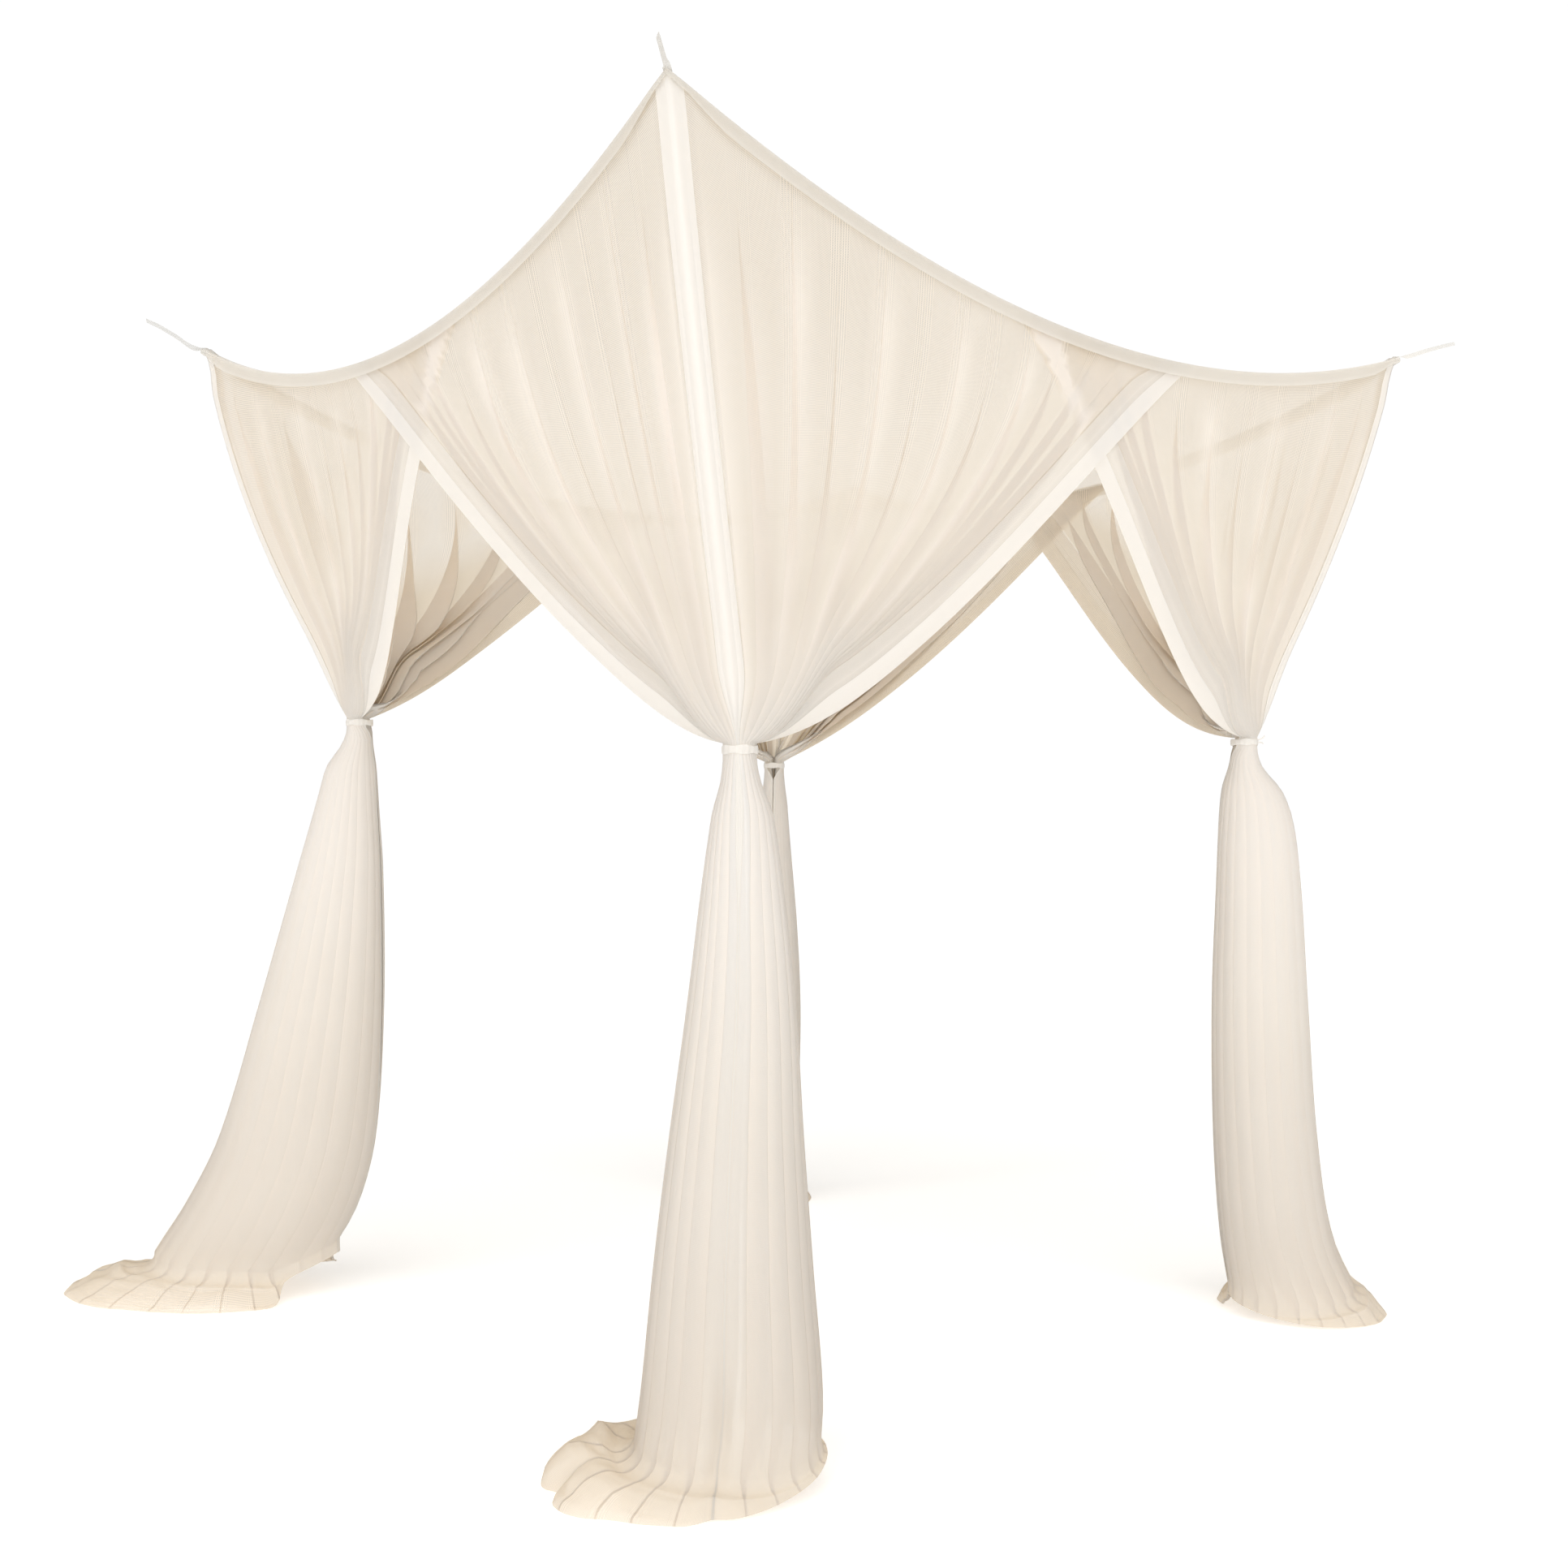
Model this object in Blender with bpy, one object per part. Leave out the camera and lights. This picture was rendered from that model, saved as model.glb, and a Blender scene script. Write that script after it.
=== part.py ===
"""Four-corner mosquito net canopy, hung by ribbons and tied back into four columns.

A sagging net roof has a curtain at each corner. Every curtain wraps its corner, laps its
neighbours at the middle of the sides, is gathered at a tie, and falls to a pool on the floor.
Units are metres. X runs along the long sides, Y along the short ones, and the floor is Z = 0.
The origin is on the floor, under the middle of the box that holds everything, and the roof's
middle is a little way off it, because the cloth runs out further over the floor on one side.
"""
import math
from collections import namedtuple

import bmesh
import bpy
from mathutils import Vector

# ---- driving dimensions ----
HALF_LONG = 1.04            # half the distance between hooks along X
HALF_SHORT = 0.91           # half the distance between hooks along Y
HOOK_HEIGHT = 2.17
ROOF_MIDDLE = Vector((0.071, -0.114, 0.0))     # plan place of the roof's middle
SPREAD_ANGLE = math.radians(-40.6)   # plan direction of the wide axis of the columns

NET = 0.0012                # thickness of the net panels
BAND = 0.0010               # thickness of the sewn bands
TAPE = 0.0012               # thickness of the tape round the roof
SEAM = 0.0003               # clearance between touching cloths
LAP = 0.0020                # a curtain lies this far outside or inside the lap's middle

EDGE_BAND = 0.075           # width of the band down each free edge
CORNER_BAND = 0.028         # half width of the band down each corner
TAPE_DROP = 0.026           # the roof tape hangs this far down outside the curtains
TAPE_OVER = 0.012           # and reaches this far in over the roof
TAPE_EASE = 0.0016          # room between the curtains' bands and the tape outside them
TAPE_SEAT = 0.0010          # the tape lies this far above the curtains' top edges
ROOF_LIFT = 0.14            # the roof's middle hangs this much higher than its edges alone give

NECK_RADIUS = 0.0285        # gathered cloth under a tie
NECK_HALF = 0.012           # half height of the straight part of a neck
NECK_WRAP = math.radians(122)   # the gathered cloth wraps this far either way from the corner
COLUMN_WRAP = math.radians(150)
FLOOR_BEND = 0.030          # a column turns out onto the floor from this height
TIE_HALF = 0.007            # half height of a tie
TIE = 0.0015
TIE_SIDES = 24
RIBBON_WIDTH = 0.013
RIBBON = 0.0012

# ---- tables ----
# Places in these tables are measured in plan from the roof's middle.
# A corner: which way it lies, how far its hook is off the hook height, where its curtain is
# tied, how far its corner line bulges out, whether it laps outside (+1) or inside (-1), how
# long its ribbon is and how steeply the ribbon is pulled up.
Corner = namedtuple("Corner", "name along_x along_y rise neck_x neck_y neck_z bulge lap ribbon pull")
CORNERS = (
    Corner("near", -1, -1, -0.012, -0.710, -0.667, 1.211, 0.030, 1, 0.085, 0.05),
    Corner("right", 1, -1, -0.010, 0.775, -0.672, 1.274, 0.036, -1, 0.130, 0.22),
    Corner("far", 1, 1, -0.004, 0.580, 0.771, 1.256, 0.030, 1, 0.120, 0.25),
    Corner("left", -1, 1, 0.019, -0.755, 0.682, 1.321, 0.056, -1, 0.140, 0.50),
)
# A side: its two corners, and how far its top edge sags and bows in at the middle.
Side = namedtuple("Side", "name start end sag bow")
SIDES = (
    Side("near_right", "near", "right", 0.175, 0.024),
    Side("far_right", "right", "far", 0.191, 0.120),
    Side("far_left", "left", "far", 0.230, 0.059),
    Side("near_left", "near", "left", 0.198, 0.024),
)
# A half curtain: the side it hangs on, the share of that side it covers, the droop of its
# free edge, and its creases as (place from the free edge to the corner, height in mm).
Half = namedtuple("Half", "side reach droop creases")
HALVES = {
    "near": (
        Half("near_left", 0.600, 0.100, ((0.22, 9), (0.40, 10), (0.53, 8), (0.69, 11), (0.84, 8))),
        Half("near_right", 0.625, 0.095, ((0.33, 8), (0.48, 10), (0.64, 8), (0.82, 12))),
    ),
    "right": (
        Half("near_right", 0.630, 0.088, ((0.25, 7), (0.46, 9), (0.66, 8), (0.84, 8))),
        Half("far_right", 0.600, 0.092, ((0.30, 8), (0.52, 9), (0.78, 8))),
    ),
    "far": (
        Half("far_right", 0.600, 0.048, ((0.28, 8), (0.50, 9), (0.76, 8))),
        Half("far_left", 0.600, 0.080, ((0.32, 9), (0.55, 8), (0.80, 9))),
    ),
    "left": (
        Half("far_left", 0.600, 0.040, ((0.24, 9), (0.48, 8), (0.74, 9))),
        Half("near_left", 0.650, 0.068, ((0.28, 9), (0.44, 8), (0.60, 10), (0.80, 9))),
    ),
}
# A column's cross-section: height, how far its middle has moved from the neck along the wide
# axis and the deep axis, and its half widths along those axes.
Section = namedtuple("Section", "height wide_shift deep_shift wide deep")
COLUMNS = {
    "near": (
        Section(1.160, 0.004, 0.000, 0.043, 0.036), Section(1.000, 0.005, 0.000, 0.066, 0.052),
        Section(0.785, 0.004, 0.002, 0.090, 0.070), Section(0.569, -0.004, 0.004, 0.110, 0.084),
        Section(0.354, -0.010, 0.008, 0.131, 0.096), Section(0.139, -0.014, 0.012, 0.151, 0.104),
        Section(0.030, -0.026, 0.012, 0.156, 0.108),
    ),
    "right": (
        Section(1.225, 0.004, 0.000, 0.048, 0.040), Section(1.115, 0.022, -0.004, 0.080, 0.058),
        Section(0.967, 0.026, -0.012, 0.094, 0.070), Section(0.673, 0.022, -0.028, 0.107, 0.084),
        Section(0.383, 0.026, -0.044, 0.114, 0.094), Section(0.167, 0.045, -0.055, 0.122, 0.102),
        Section(0.030, 0.085, -0.064, 0.142, 0.112),
    ),
    "far": (
        Section(1.180, 0.000, 0.000, 0.036, 0.034), Section(1.050, -0.002, -0.006, 0.048, 0.044),
        Section(0.791, -0.006, -0.020, 0.074, 0.062), Section(0.556, -0.016, -0.032, 0.094, 0.076),
        Section(0.300, -0.040, -0.046, 0.112, 0.090), Section(0.030, -0.072, -0.056, 0.136, 0.106),
    ),
    "left": (
        Section(1.266, -0.014, 0.000, 0.050, 0.040), Section(1.115, -0.030, 0.004, 0.074, 0.056),
        Section(0.965, -0.048, 0.010, 0.100, 0.070), Section(0.662, -0.092, 0.022, 0.146, 0.094),
        Section(0.359, -0.150, 0.036, 0.184, 0.112), Section(0.208, -0.208, 0.042, 0.202, 0.118),
        Section(0.100, -0.275, 0.054, 0.206, 0.108), Section(0.030, -0.325, 0.060, 0.196, 0.104),
    ),
}
# The cloth on the floor, by its place round the column from the left free edge (-150 degrees)
# past the corner (0) to the right one: how far it runs out, how high its hem ends above the
# floor, and how high it is rumpled.
Pool = namedtuple("Pool", "angle reach hem rumple")
POOLS = {
    "near": (
        Pool(-150, 0.030, 0.000, 0.000), Pool(-112, 0.105, 0.000, 0.012), Pool(-78, 0.142, 0.000, 0.030),
        Pool(-52, 0.150, 0.000, 0.022), Pool(-30, 0.105, 0.000, 0.016), Pool(-8, 0.058, 0.000, 0.014),
        Pool(25, 0.022, 0.020, 0.004), Pool(70, 0.010, 0.055, 0.000), Pool(110, 0.008, 0.065, 0.000),
        Pool(150, 0.008, 0.060, 0.000),
    ),
    "right": (
        Pool(-150, 0.015, 0.030, 0.000), Pool(-90, 0.030, 0.000, 0.006), Pool(-30, 0.060, 0.000, 0.012),
        Pool(0, 0.080, 0.000, 0.014), Pool(35, 0.110, 0.000, 0.016), Pool(60, 0.080, 0.000, 0.014),
        Pool(100, 0.055, 0.000, 0.010), Pool(150, 0.020, 0.010, 0.000),
    ),
    "far": (
        Pool(-150, 0.012, 0.000, 0.000), Pool(-80, 0.030, 0.000, 0.006), Pool(-20, 0.090, 0.000, 0.016),
        Pool(40, 0.090, 0.000, 0.014), Pool(100, 0.050, 0.000, 0.008), Pool(150, 0.015, 0.000, 0.000),
    ),
    "left": (
        Pool(-150, 0.010, 0.070, 0.000), Pool(-100, 0.020, 0.030, 0.002), Pool(-55, 0.100, 0.000, 0.012),
        Pool(-22, 0.180, 0.000, 0.018), Pool(4, 0.205, 0.000, 0.020), Pool(28, 0.170, 0.000, 0.018),
        Pool(60, 0.085, 0.000, 0.014), Pool(90, 0.055, 0.000, 0.010), Pool(112, 0.012, 0.040, 0.002),
        Pool(130, 0.008, 0.070, 0.000), Pool(150, 0.008, 0.085, 0.000),
    ),
}
# Rows of the mesh: shares of the way from the top edge to the tie, from the tie to the floor,
# and out over the floor.
FAN_ROWS = (0.0, 0.06, 0.14, 0.24, 0.36, 0.48, 0.60, 0.71, 0.81, 0.89, 0.95, 1.0)
COLUMN_ROWS = (0.0, 0.06, 0.15, 0.30, 0.48, 0.65, 0.80, 0.91, 1.0)
POOL_ROWS = (0.25, 0.62, 1.0)
SIDE_STEPS = 20
WIDEST_STEP = 0.105         # share of the net's width
# A ribbon's bends: share of its length, share of its full pull, and share of its full width.
Bend = namedtuple("Bend", "along pull narrow")
RIBBON_SEWN = 0.010         # this much of a ribbon is sewn down over its corner
RIBBON_BENDS = (
    Bend(0.03, 0.0, 1.0), Bend(0.13, 0.1, 1.0), Bend(0.40, 0.8, 0.9), Bend(0.70, 1.0, 0.85),
    Bend(1.00, 1.0, 0.75),
)
# A free end of a tie: which of its faces it leaves, how far it leans aside at each step, and
# the steps themselves, as distance out, height, and width left.
Tail = namedtuple("Tail", "face lean")
TIE_TAILS = {"right": (Tail(21, 0.004), Tail(2, -0.003))}
TailStep = namedtuple("TailStep", "out rise narrow")
TAIL_STEPS = (TailStep(0.006, 0.000, 0.8), TailStep(0.010, -0.014, 0.9), TailStep(0.009, -0.018, 0.8))

# Shares of a half curtain's width, from its free edge: the edge band, then the net, then the
# corner band.
BAND_SHARE = 0.12
CORNER_SHARE = 0.90
# Shares of the way round a gathered column that the two bands take.
BAND_GATHER = 0.07
CORNER_GATHER = 0.045

# Surfaces, as colour and roughness.
NET_CLOTH = ("net", (0.86, 0.81, 0.71, 1.0), 0.90)
BAND_CLOTH = ("band", (0.94, 0.92, 0.86, 1.0), 0.75)

CORNER = {corner.name: corner for corner in CORNERS}
SIDE = {side.name: side for side in SIDES}
WIDE = Vector((math.cos(SPREAD_ANGLE), math.sin(SPREAD_ANGLE), 0.0))
DEEP = Vector((-math.sin(SPREAD_ANGLE), math.cos(SPREAD_ANGLE), 0.0))


# ---- small helpers ----
def mix(a, b, share):
    return a + (b - a) * share


def smooth(low, high, value):
    share = min(max((value - low) / (high - low), 0.0), 1.0)
    return share * share * (3.0 - 2.0 * share)


def slope(rows, key, index):
    """How each column of a table changes with its key at a row, from the rows on both sides."""
    before, after = rows[max(index - 1, 0)], rows[min(index + 1, len(rows) - 1)]
    run = getattr(after, key) - getattr(before, key)
    return [(b - a) / run for a, b in zip(before, after)]


def read_table(rows, key, value):
    """A row of a table at any key, on a smooth curve through its rows and flat past its ends."""
    rows = sorted(rows, key=lambda row: getattr(row, key))
    if value <= getattr(rows[0], key):
        return rows[0]
    if value >= getattr(rows[-1], key):
        return rows[-1]
    upper = next(k for k, row in enumerate(rows) if getattr(row, key) >= value)
    low, high = rows[upper - 1], rows[upper]
    run = getattr(high, key) - getattr(low, key)
    t = (value - getattr(low, key)) / run
    low_part, high_part = (1.0 + 2.0 * t) * (1.0 - t) ** 2, t * t * (3.0 - 2.0 * t)
    leaving, arriving = t * (1.0 - t) ** 2 * run, t * t * (t - 1.0) * run
    curves = zip(low, high, slope(rows, key, upper - 1), slope(rows, key, upper))
    return type(low)(*(
        a * low_part + b * high_part + first * leaving + second * arriving
        for a, b, first, second in curves
    ))


# ---- the sides, in their own coordinates: (distance from a corner, depth inwards, height) ----
class OwnSide:
    """A side seen from one of its corners."""

    def __init__(self, side, corner_name):
        self.side = side
        other_name = side.end if side.start == corner_name else side.start
        self.corner = CORNER[corner_name]
        self.other = CORNER[other_name]
        self.origin = corner_place(self.corner)
        far_end = corner_place(self.other)
        flat = Vector((far_end.x - self.origin.x, far_end.y - self.origin.y, 0.0))
        self.length = flat.length
        self.along = flat.normalized()
        middle = (self.origin + far_end) * 0.5
        across = Vector((-self.along.y, self.along.x, 0.0))
        self.inward = across if across.dot(ROOF_MIDDLE - middle) > 0.0 else -across
        self.neck = self.own(neck_place(self.corner))
        self.other_neck = self.own(neck_place(self.other))

    def own(self, place):
        step = place - self.origin
        return Vector((step.dot(self.along), step.dot(self.inward), place.z))

    def world(self, own):
        flat = self.origin + self.along * own.x + self.inward * own.y
        return Vector((flat.x, flat.y, own.z))

    def top(self, distance):
        share = distance / self.length
        hang = 4.0 * share * (1.0 - share)
        height = mix(self.origin.z, corner_place(self.other).z, share) - self.side.sag * hang
        return Vector((distance, self.side.bow * hang, height))

    def depth(self, distance, height):
        """How far in the side's cloth hangs; both curtains of a side share this surface."""
        span = self.other_neck.x - self.neck.x
        share = min(max((distance - self.neck.x) / span, 0.0), 1.0)
        neck = self.neck.lerp(self.other_neck, share)
        edge = self.top(distance)
        fall = (edge.z - height) / (edge.z - neck.z)
        fall = min(max(fall, 0.0), 1.05)
        return mix(edge.y, neck.y, 0.6 * fall + 0.4 * fall * fall)


def round_share(width):
    """Where a line of the cloth comes to lie round a gathered column, 0 to 1 like its width."""
    if width <= BAND_SHARE:
        return width * BAND_GATHER / BAND_SHARE
    if width >= CORNER_SHARE:
        return 1.0 - (1.0 - width) * CORNER_GATHER / (1.0 - CORNER_SHARE)
    place = (width - BAND_SHARE) / (CORNER_SHARE - BAND_SHARE)
    return mix(BAND_GATHER, 1.0 - CORNER_GATHER, place)


def corner_place(corner):
    flat = Vector((corner.along_x * HALF_LONG, corner.along_y * HALF_SHORT, HOOK_HEIGHT + corner.rise))
    return ROOF_MIDDLE + flat


def neck_place(corner):
    return ROOF_MIDDLE + Vector((corner.neck_x, corner.neck_y, corner.neck_z))


# ---- one half of a curtain ----
class HalfCurtain:
    """The cloth from a free edge to the corner. Its width runs from 0 at the free edge to 1."""

    def __init__(self, corner_name, half):
        self.half = half
        self.corner = CORNER[corner_name]
        self.side = OwnSide(SIDE[half.side], corner_name)
        self.start = self.side.top(half.reach * self.side.length)
        self.neck = self.side.neck
        self.out = -(self.side.along + self.side.inward).normalized()
        self.turn = (self.side.along - self.side.inward).normalized()

    def free_edge(self, share):
        """The free edge as (distance, height): it droops most near the tie."""
        droop = self.half.droop * 6.75 * share * share * (1.0 - share)
        height = mix(self.start.z, self.neck.z, share) - droop
        return Vector((mix(self.start.x, self.neck.x, share), height))

    def band_line(self, share):
        """The inner line of the edge band, at the band's width from the free edge."""
        step = 0.01
        ahead = self.free_edge(min(share + step, 1.0)) - self.free_edge(max(share - step, 0.0))
        square = Vector((ahead.y, -ahead.x)).normalized() * EDGE_BAND
        top_distance = self.start.x - EDGE_BAND * 1.25
        level = Vector((top_distance, self.side.top(top_distance).z)) - self.free_edge(0.0)
        shift = level.lerp(square, smooth(0.0, 0.16, share))
        return self.free_edge(share) + shift * (1.0 - smooth(0.80, 1.0, share))

    def corner_line(self, share, aside):
        """The corner's line, or a line beside it, as (distance, depth, height)."""
        fall = 1.0 - (1.0 - share) ** 1.2
        bulge = self.corner.bulge * 0.707 * 4.0 * fall * (1.0 - fall) * smooth(0.0, 0.12, fall)
        keep = aside * (1.0 - smooth(0.80, 1.0, share))
        height = mix(self.side.origin.z, self.neck.z, fall)
        line = Vector((self.neck.x * fall - bulge, self.neck.y * fall - bulge, height))
        edge = self.side.top(keep)
        lower = (1.0 - fall)
        return line + Vector((keep, edge.y * lower, (edge.z - self.side.origin.z) * lower))

    def net_line(self, place, share):
        """The net between the bands: it hangs down, then follows the free edge to the tie."""
        anchor = 1.0 - (1.0 - place) ** 1.3
        power = 1.2 + 1.8 * smooth(0.0, 0.35, place)
        foot = self.band_line(anchor)
        first = self.start.x - EDGE_BAND * 1.25
        top_distance = mix(first, CORNER_BAND, place)
        top = Vector((top_distance, self.side.top(top_distance).z))
        flat = self.band_line(anchor + (1.0 - anchor) * share ** power)
        flat = flat + (top - foot) * (1.0 - share) ** 1.2
        own = Vector((flat.x, self.side.depth(flat.x, flat.y), flat.y))
        straight = Vector((CORNER_BAND, 0.0, self.side.top(CORNER_BAND).z))
        straight = Vector((self.neck.x, 0.0, self.neck.z)).lerp(straight, (1.0 - share) ** 1.2)
        edge_line = self.corner_line(share, CORNER_BAND)
        straight.y = self.side.depth(straight.x, straight.z)
        return own + (edge_line - straight) * smooth(0.35, 1.0, place)

    def crease(self, place):
        """Height of the cloth's creases at a place across the net, in metres."""
        total = 0.0
        for middle, height in self.half.creases:
            total += height * math.exp(-((place - middle) / 0.045) ** 2)
        return total * 0.001

    def fan(self, width, share):
        """A point above the tie."""
        if width <= BAND_SHARE:
            edge_share = share ** 1.2
            flat = self.free_edge(edge_share).lerp(self.band_line(edge_share), width / BAND_SHARE)
            own = Vector((flat.x, self.side.depth(flat.x, flat.y), flat.y))
        elif width >= CORNER_SHARE:
            aside = CORNER_BAND * (1.0 - width) / (1.0 - CORNER_SHARE)
            own = self.corner_line(share, aside)
        else:
            place = (width - BAND_SHARE) / (CORNER_SHARE - BAND_SHARE)
            own = self.net_line(place, share)
            relief = smooth(0.0, 0.35, share) * (1.0 - smooth(0.80, 1.0, share))
            if self.corner.lap < 0:
                relief *= 1.0 - smooth(0.28, 0.36, own.x / self.side.length)
            own.y -= self.crease(place) * relief
        ring = self.ring(width, NECK_WRAP) * NECK_RADIUS
        return self.side.world(own) + ring * smooth(0.68, 1.0, share)

    def ring(self, width, wrap):
        angle = wrap * (1.0 - round_share(width))
        return self.out * math.cos(angle) + self.turn * math.sin(angle)

    def column(self, width, height):
        """A point below the tie, on the column."""
        neck = neck_place(self.corner)
        below = neck.z - NECK_HALF - height
        open_share = smooth(0.0, 0.22, below)
        ring = self.ring(width, mix(NECK_WRAP, COLUMN_WRAP, open_share))
        section = read_table(COLUMNS[self.corner.name], "height", height)
        grow = smooth(0.0, 0.10, below)
        wide = mix(NECK_RADIUS, section.wide, grow)
        deep = mix(NECK_RADIUS, section.deep, grow)
        place = neck + (WIDE * section.wide_shift + DEEP * section.deep_shift) * grow
        if BAND_SHARE < width < CORNER_SHARE:
            fold = self.crease((width - BAND_SHARE) / (CORNER_SHARE - BAND_SHARE))
            fold = (fold - 0.004) * 1.2 * smooth(0.06, 0.35, below)
            wide += fold
            deep += fold
        place += WIDE * (ring.dot(WIDE) * wide) + DEEP * (ring.dot(DEEP) * deep)
        return Vector((place.x, place.y, height))


# ---- a whole curtain ----
def floor_angle(side_sign, width):
    return side_sign * math.degrees(COLUMN_WRAP) * (1.0 - round_share(width))


def curtain_line(half, side_sign, width):
    """One line of a curtain from its top edge to its hem, as a list of points."""
    points = [half.fan(width, share) for share in FAN_ROWS]
    neck = neck_place(half.corner)
    points[-1].z = neck.z + NECK_HALF
    pool = read_table(POOLS[half.corner.name], "angle", floor_angle(side_sign, width))
    rest = max(pool.hem, 0.0) + NET * 0.5
    top = neck.z - NECK_HALF
    points += [half.column(width, mix(top, rest + FLOOR_BEND, share)) for share in COLUMN_ROWS]
    base = points[-1]
    section = COLUMNS[half.corner.name][-1]
    middle = neck + WIDE * section.wide_shift + DEEP * section.deep_shift
    away = Vector((base.x - middle.x, base.y - middle.y, 0.0)).normalized()
    for share in POOL_ROWS:
        rumple = pool.rumple * math.sin(math.pi * share) ** 2
        height = mix(base.z, rest, smooth(0.0, 0.5, share)) + rumple
        points.append(Vector((base.x, base.y, height)) + away * pool.reach * share)
    return points


def half_widths(half):
    """Places across a half curtain: its bands' edges, every crease, and between the creases."""
    marks = [0.0] + [middle for middle, height in half.creases] + [1.0]
    places = []
    for low, high in zip(marks, marks[1:]):
        steps = 3 if high - low > WIDEST_STEP * 2.0 else 2
        places += [mix(low, high, k / steps) for k in range(steps)]
    widths = [mix(BAND_SHARE, CORNER_SHARE, place) for place in places]
    return [0.0] + widths + [CORNER_SHARE, 1.0]


def curtain_grid(corner_name):
    """Lines from the left free edge round the corner to the right free edge."""
    left, right = (HalfCurtain(corner_name, half) for half in HALVES[corner_name])
    lines = [curtain_line(left, -1, width) for width in half_widths(left.half)]
    back = half_widths(right.half)[::-1][1:]
    lines += [curtain_line(right, 1, width) for width in back]
    return lines


def grid_normals(lines):
    """Outward unit normals of a grid whose lines run down and follow each other to the right.

    Those along the top edge are level, so that the edge keeps its height.
    """
    normals = []
    last = len(lines) - 1
    for i, line in enumerate(lines):
        end = len(line) - 1
        row = []
        for j in range(end + 1):
            right = lines[min(i + 1, last)][j] - lines[max(i - 1, 0)][j]
            down = line[min(j + 1, end)] - line[max(j - 1, 0)]
            row.append(down.cross(right).normalized())
        row[0] = Vector((row[0].x, row[0].y, 0.0)).normalized()
        normals.append(row)
    return normals


# ---- solids ----
def material(cloth):
    name, colour, roughness = cloth
    found = bpy.data.materials.get(name)
    if found:
        return found
    made = bpy.data.materials.new(name)
    made.use_nodes = True
    shader = made.node_tree.nodes["Principled BSDF"]
    shader.inputs["Base Color"].default_value = colour
    shader.inputs["Roughness"].default_value = roughness
    shader.inputs["Metallic"].default_value = 0.0
    return made


def add_object(name, bm, cloth):
    bmesh.ops.triangulate(bm, faces=bm.faces[:])
    if bm.calc_volume(signed=True) < 0.0:
        bmesh.ops.reverse_faces(bm, faces=bm.faces[:])
    mesh = bpy.data.meshes.new(name)
    bm.to_mesh(mesh)
    bm.free()
    mesh.materials.append(material(cloth))
    mesh.shade_smooth()
    obj = bpy.data.objects.new(name, mesh)
    bpy.context.scene.collection.objects.link(obj)
    return obj


def sheet_solid(name, lines, normals, middle, thickness, cloth):
    """A closed sheet along a grid, its middle that far out along the normals."""
    bm = bmesh.new()
    skins = []
    for reach in (middle + thickness * 0.5, middle - thickness * 0.5):
        skin = []
        for line, line_normals in zip(lines, normals):
            skin.append([bm.verts.new(p + n * reach) for p, n in zip(line, line_normals)])
        skins.append(skin)
    outer, inner = skins
    wide = len(lines) - 1
    tall = len(lines[0]) - 1
    for i in range(wide):
        for j in range(tall):
            bm.faces.new((outer[i][j], outer[i][j + 1], outer[i + 1][j + 1], outer[i + 1][j]))
            bm.faces.new((inner[i][j], inner[i + 1][j], inner[i + 1][j + 1], inner[i][j + 1]))
    for j in range(tall):
        bm.faces.new((outer[0][j], inner[0][j], inner[0][j + 1], outer[0][j + 1]))
        bm.faces.new((outer[wide][j], outer[wide][j + 1], inner[wide][j + 1], inner[wide][j]))
    for i in range(wide):
        bm.faces.new((outer[i][0], outer[i + 1][0], inner[i + 1][0], inner[i][0]))
        bm.faces.new((outer[i][tall], inner[i][tall], inner[i + 1][tall], outer[i + 1][tall]))
    return add_object(name, bm, cloth)


def part_laps(lines, normals, lap):
    """Move a curtain's upper part out or in, so that it clears its neighbours where they lap."""
    for line, line_normals in zip(lines, normals):
        for j, share in enumerate(FAN_ROWS):
            line[j] += line_normals[j] * (lap * LAP * (1.0 - smooth(0.60, 0.95, share)))


def make_curtain(corner):
    """A curtain with its two edge bands and its corner band."""
    lines = curtain_grid(corner.name)
    normals = grid_normals(lines)
    part_laps(lines, normals, corner.lap)
    sheet_solid("curtain_" + corner.name, lines, normals, 0.0, NET, NET_CLOTH)
    on_top = NET * 0.5 + SEAM + BAND * 0.5
    middle = len(half_widths(HALVES[corner.name][0])) - 1
    strips = {
        "edge_band_" + corner.name + "_left": slice(0, 2),
        "corner_band_" + corner.name: slice(middle - 1, middle + 2),
        "edge_band_" + corner.name + "_right": slice(len(lines) - 2, len(lines)),
    }
    for name, span in strips.items():
        sheet_solid(name, lines[span], normals[span], on_top, BAND, BAND_CLOTH)


def ring_solid(name, rings, caps, cloth):
    """A closed skin through rings of points that follow each other, its ends capped by faces."""
    bm = bmesh.new()
    loops = [[bm.verts.new(point) for point in ring] for ring in rings]
    count = len(loops[0])
    for a, b in zip(loops, loops[1:]):
        for k in range(count):
            bm.faces.new((a[k], a[(k + 1) % count], b[(k + 1) % count], b[k]))
    for cap in caps:
        bm.faces.new([loops[0][k] for k in reversed(cap)])
        bm.faces.new([loops[-1][k] for k in cap])
    return add_object(name, bm, cloth)


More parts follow.
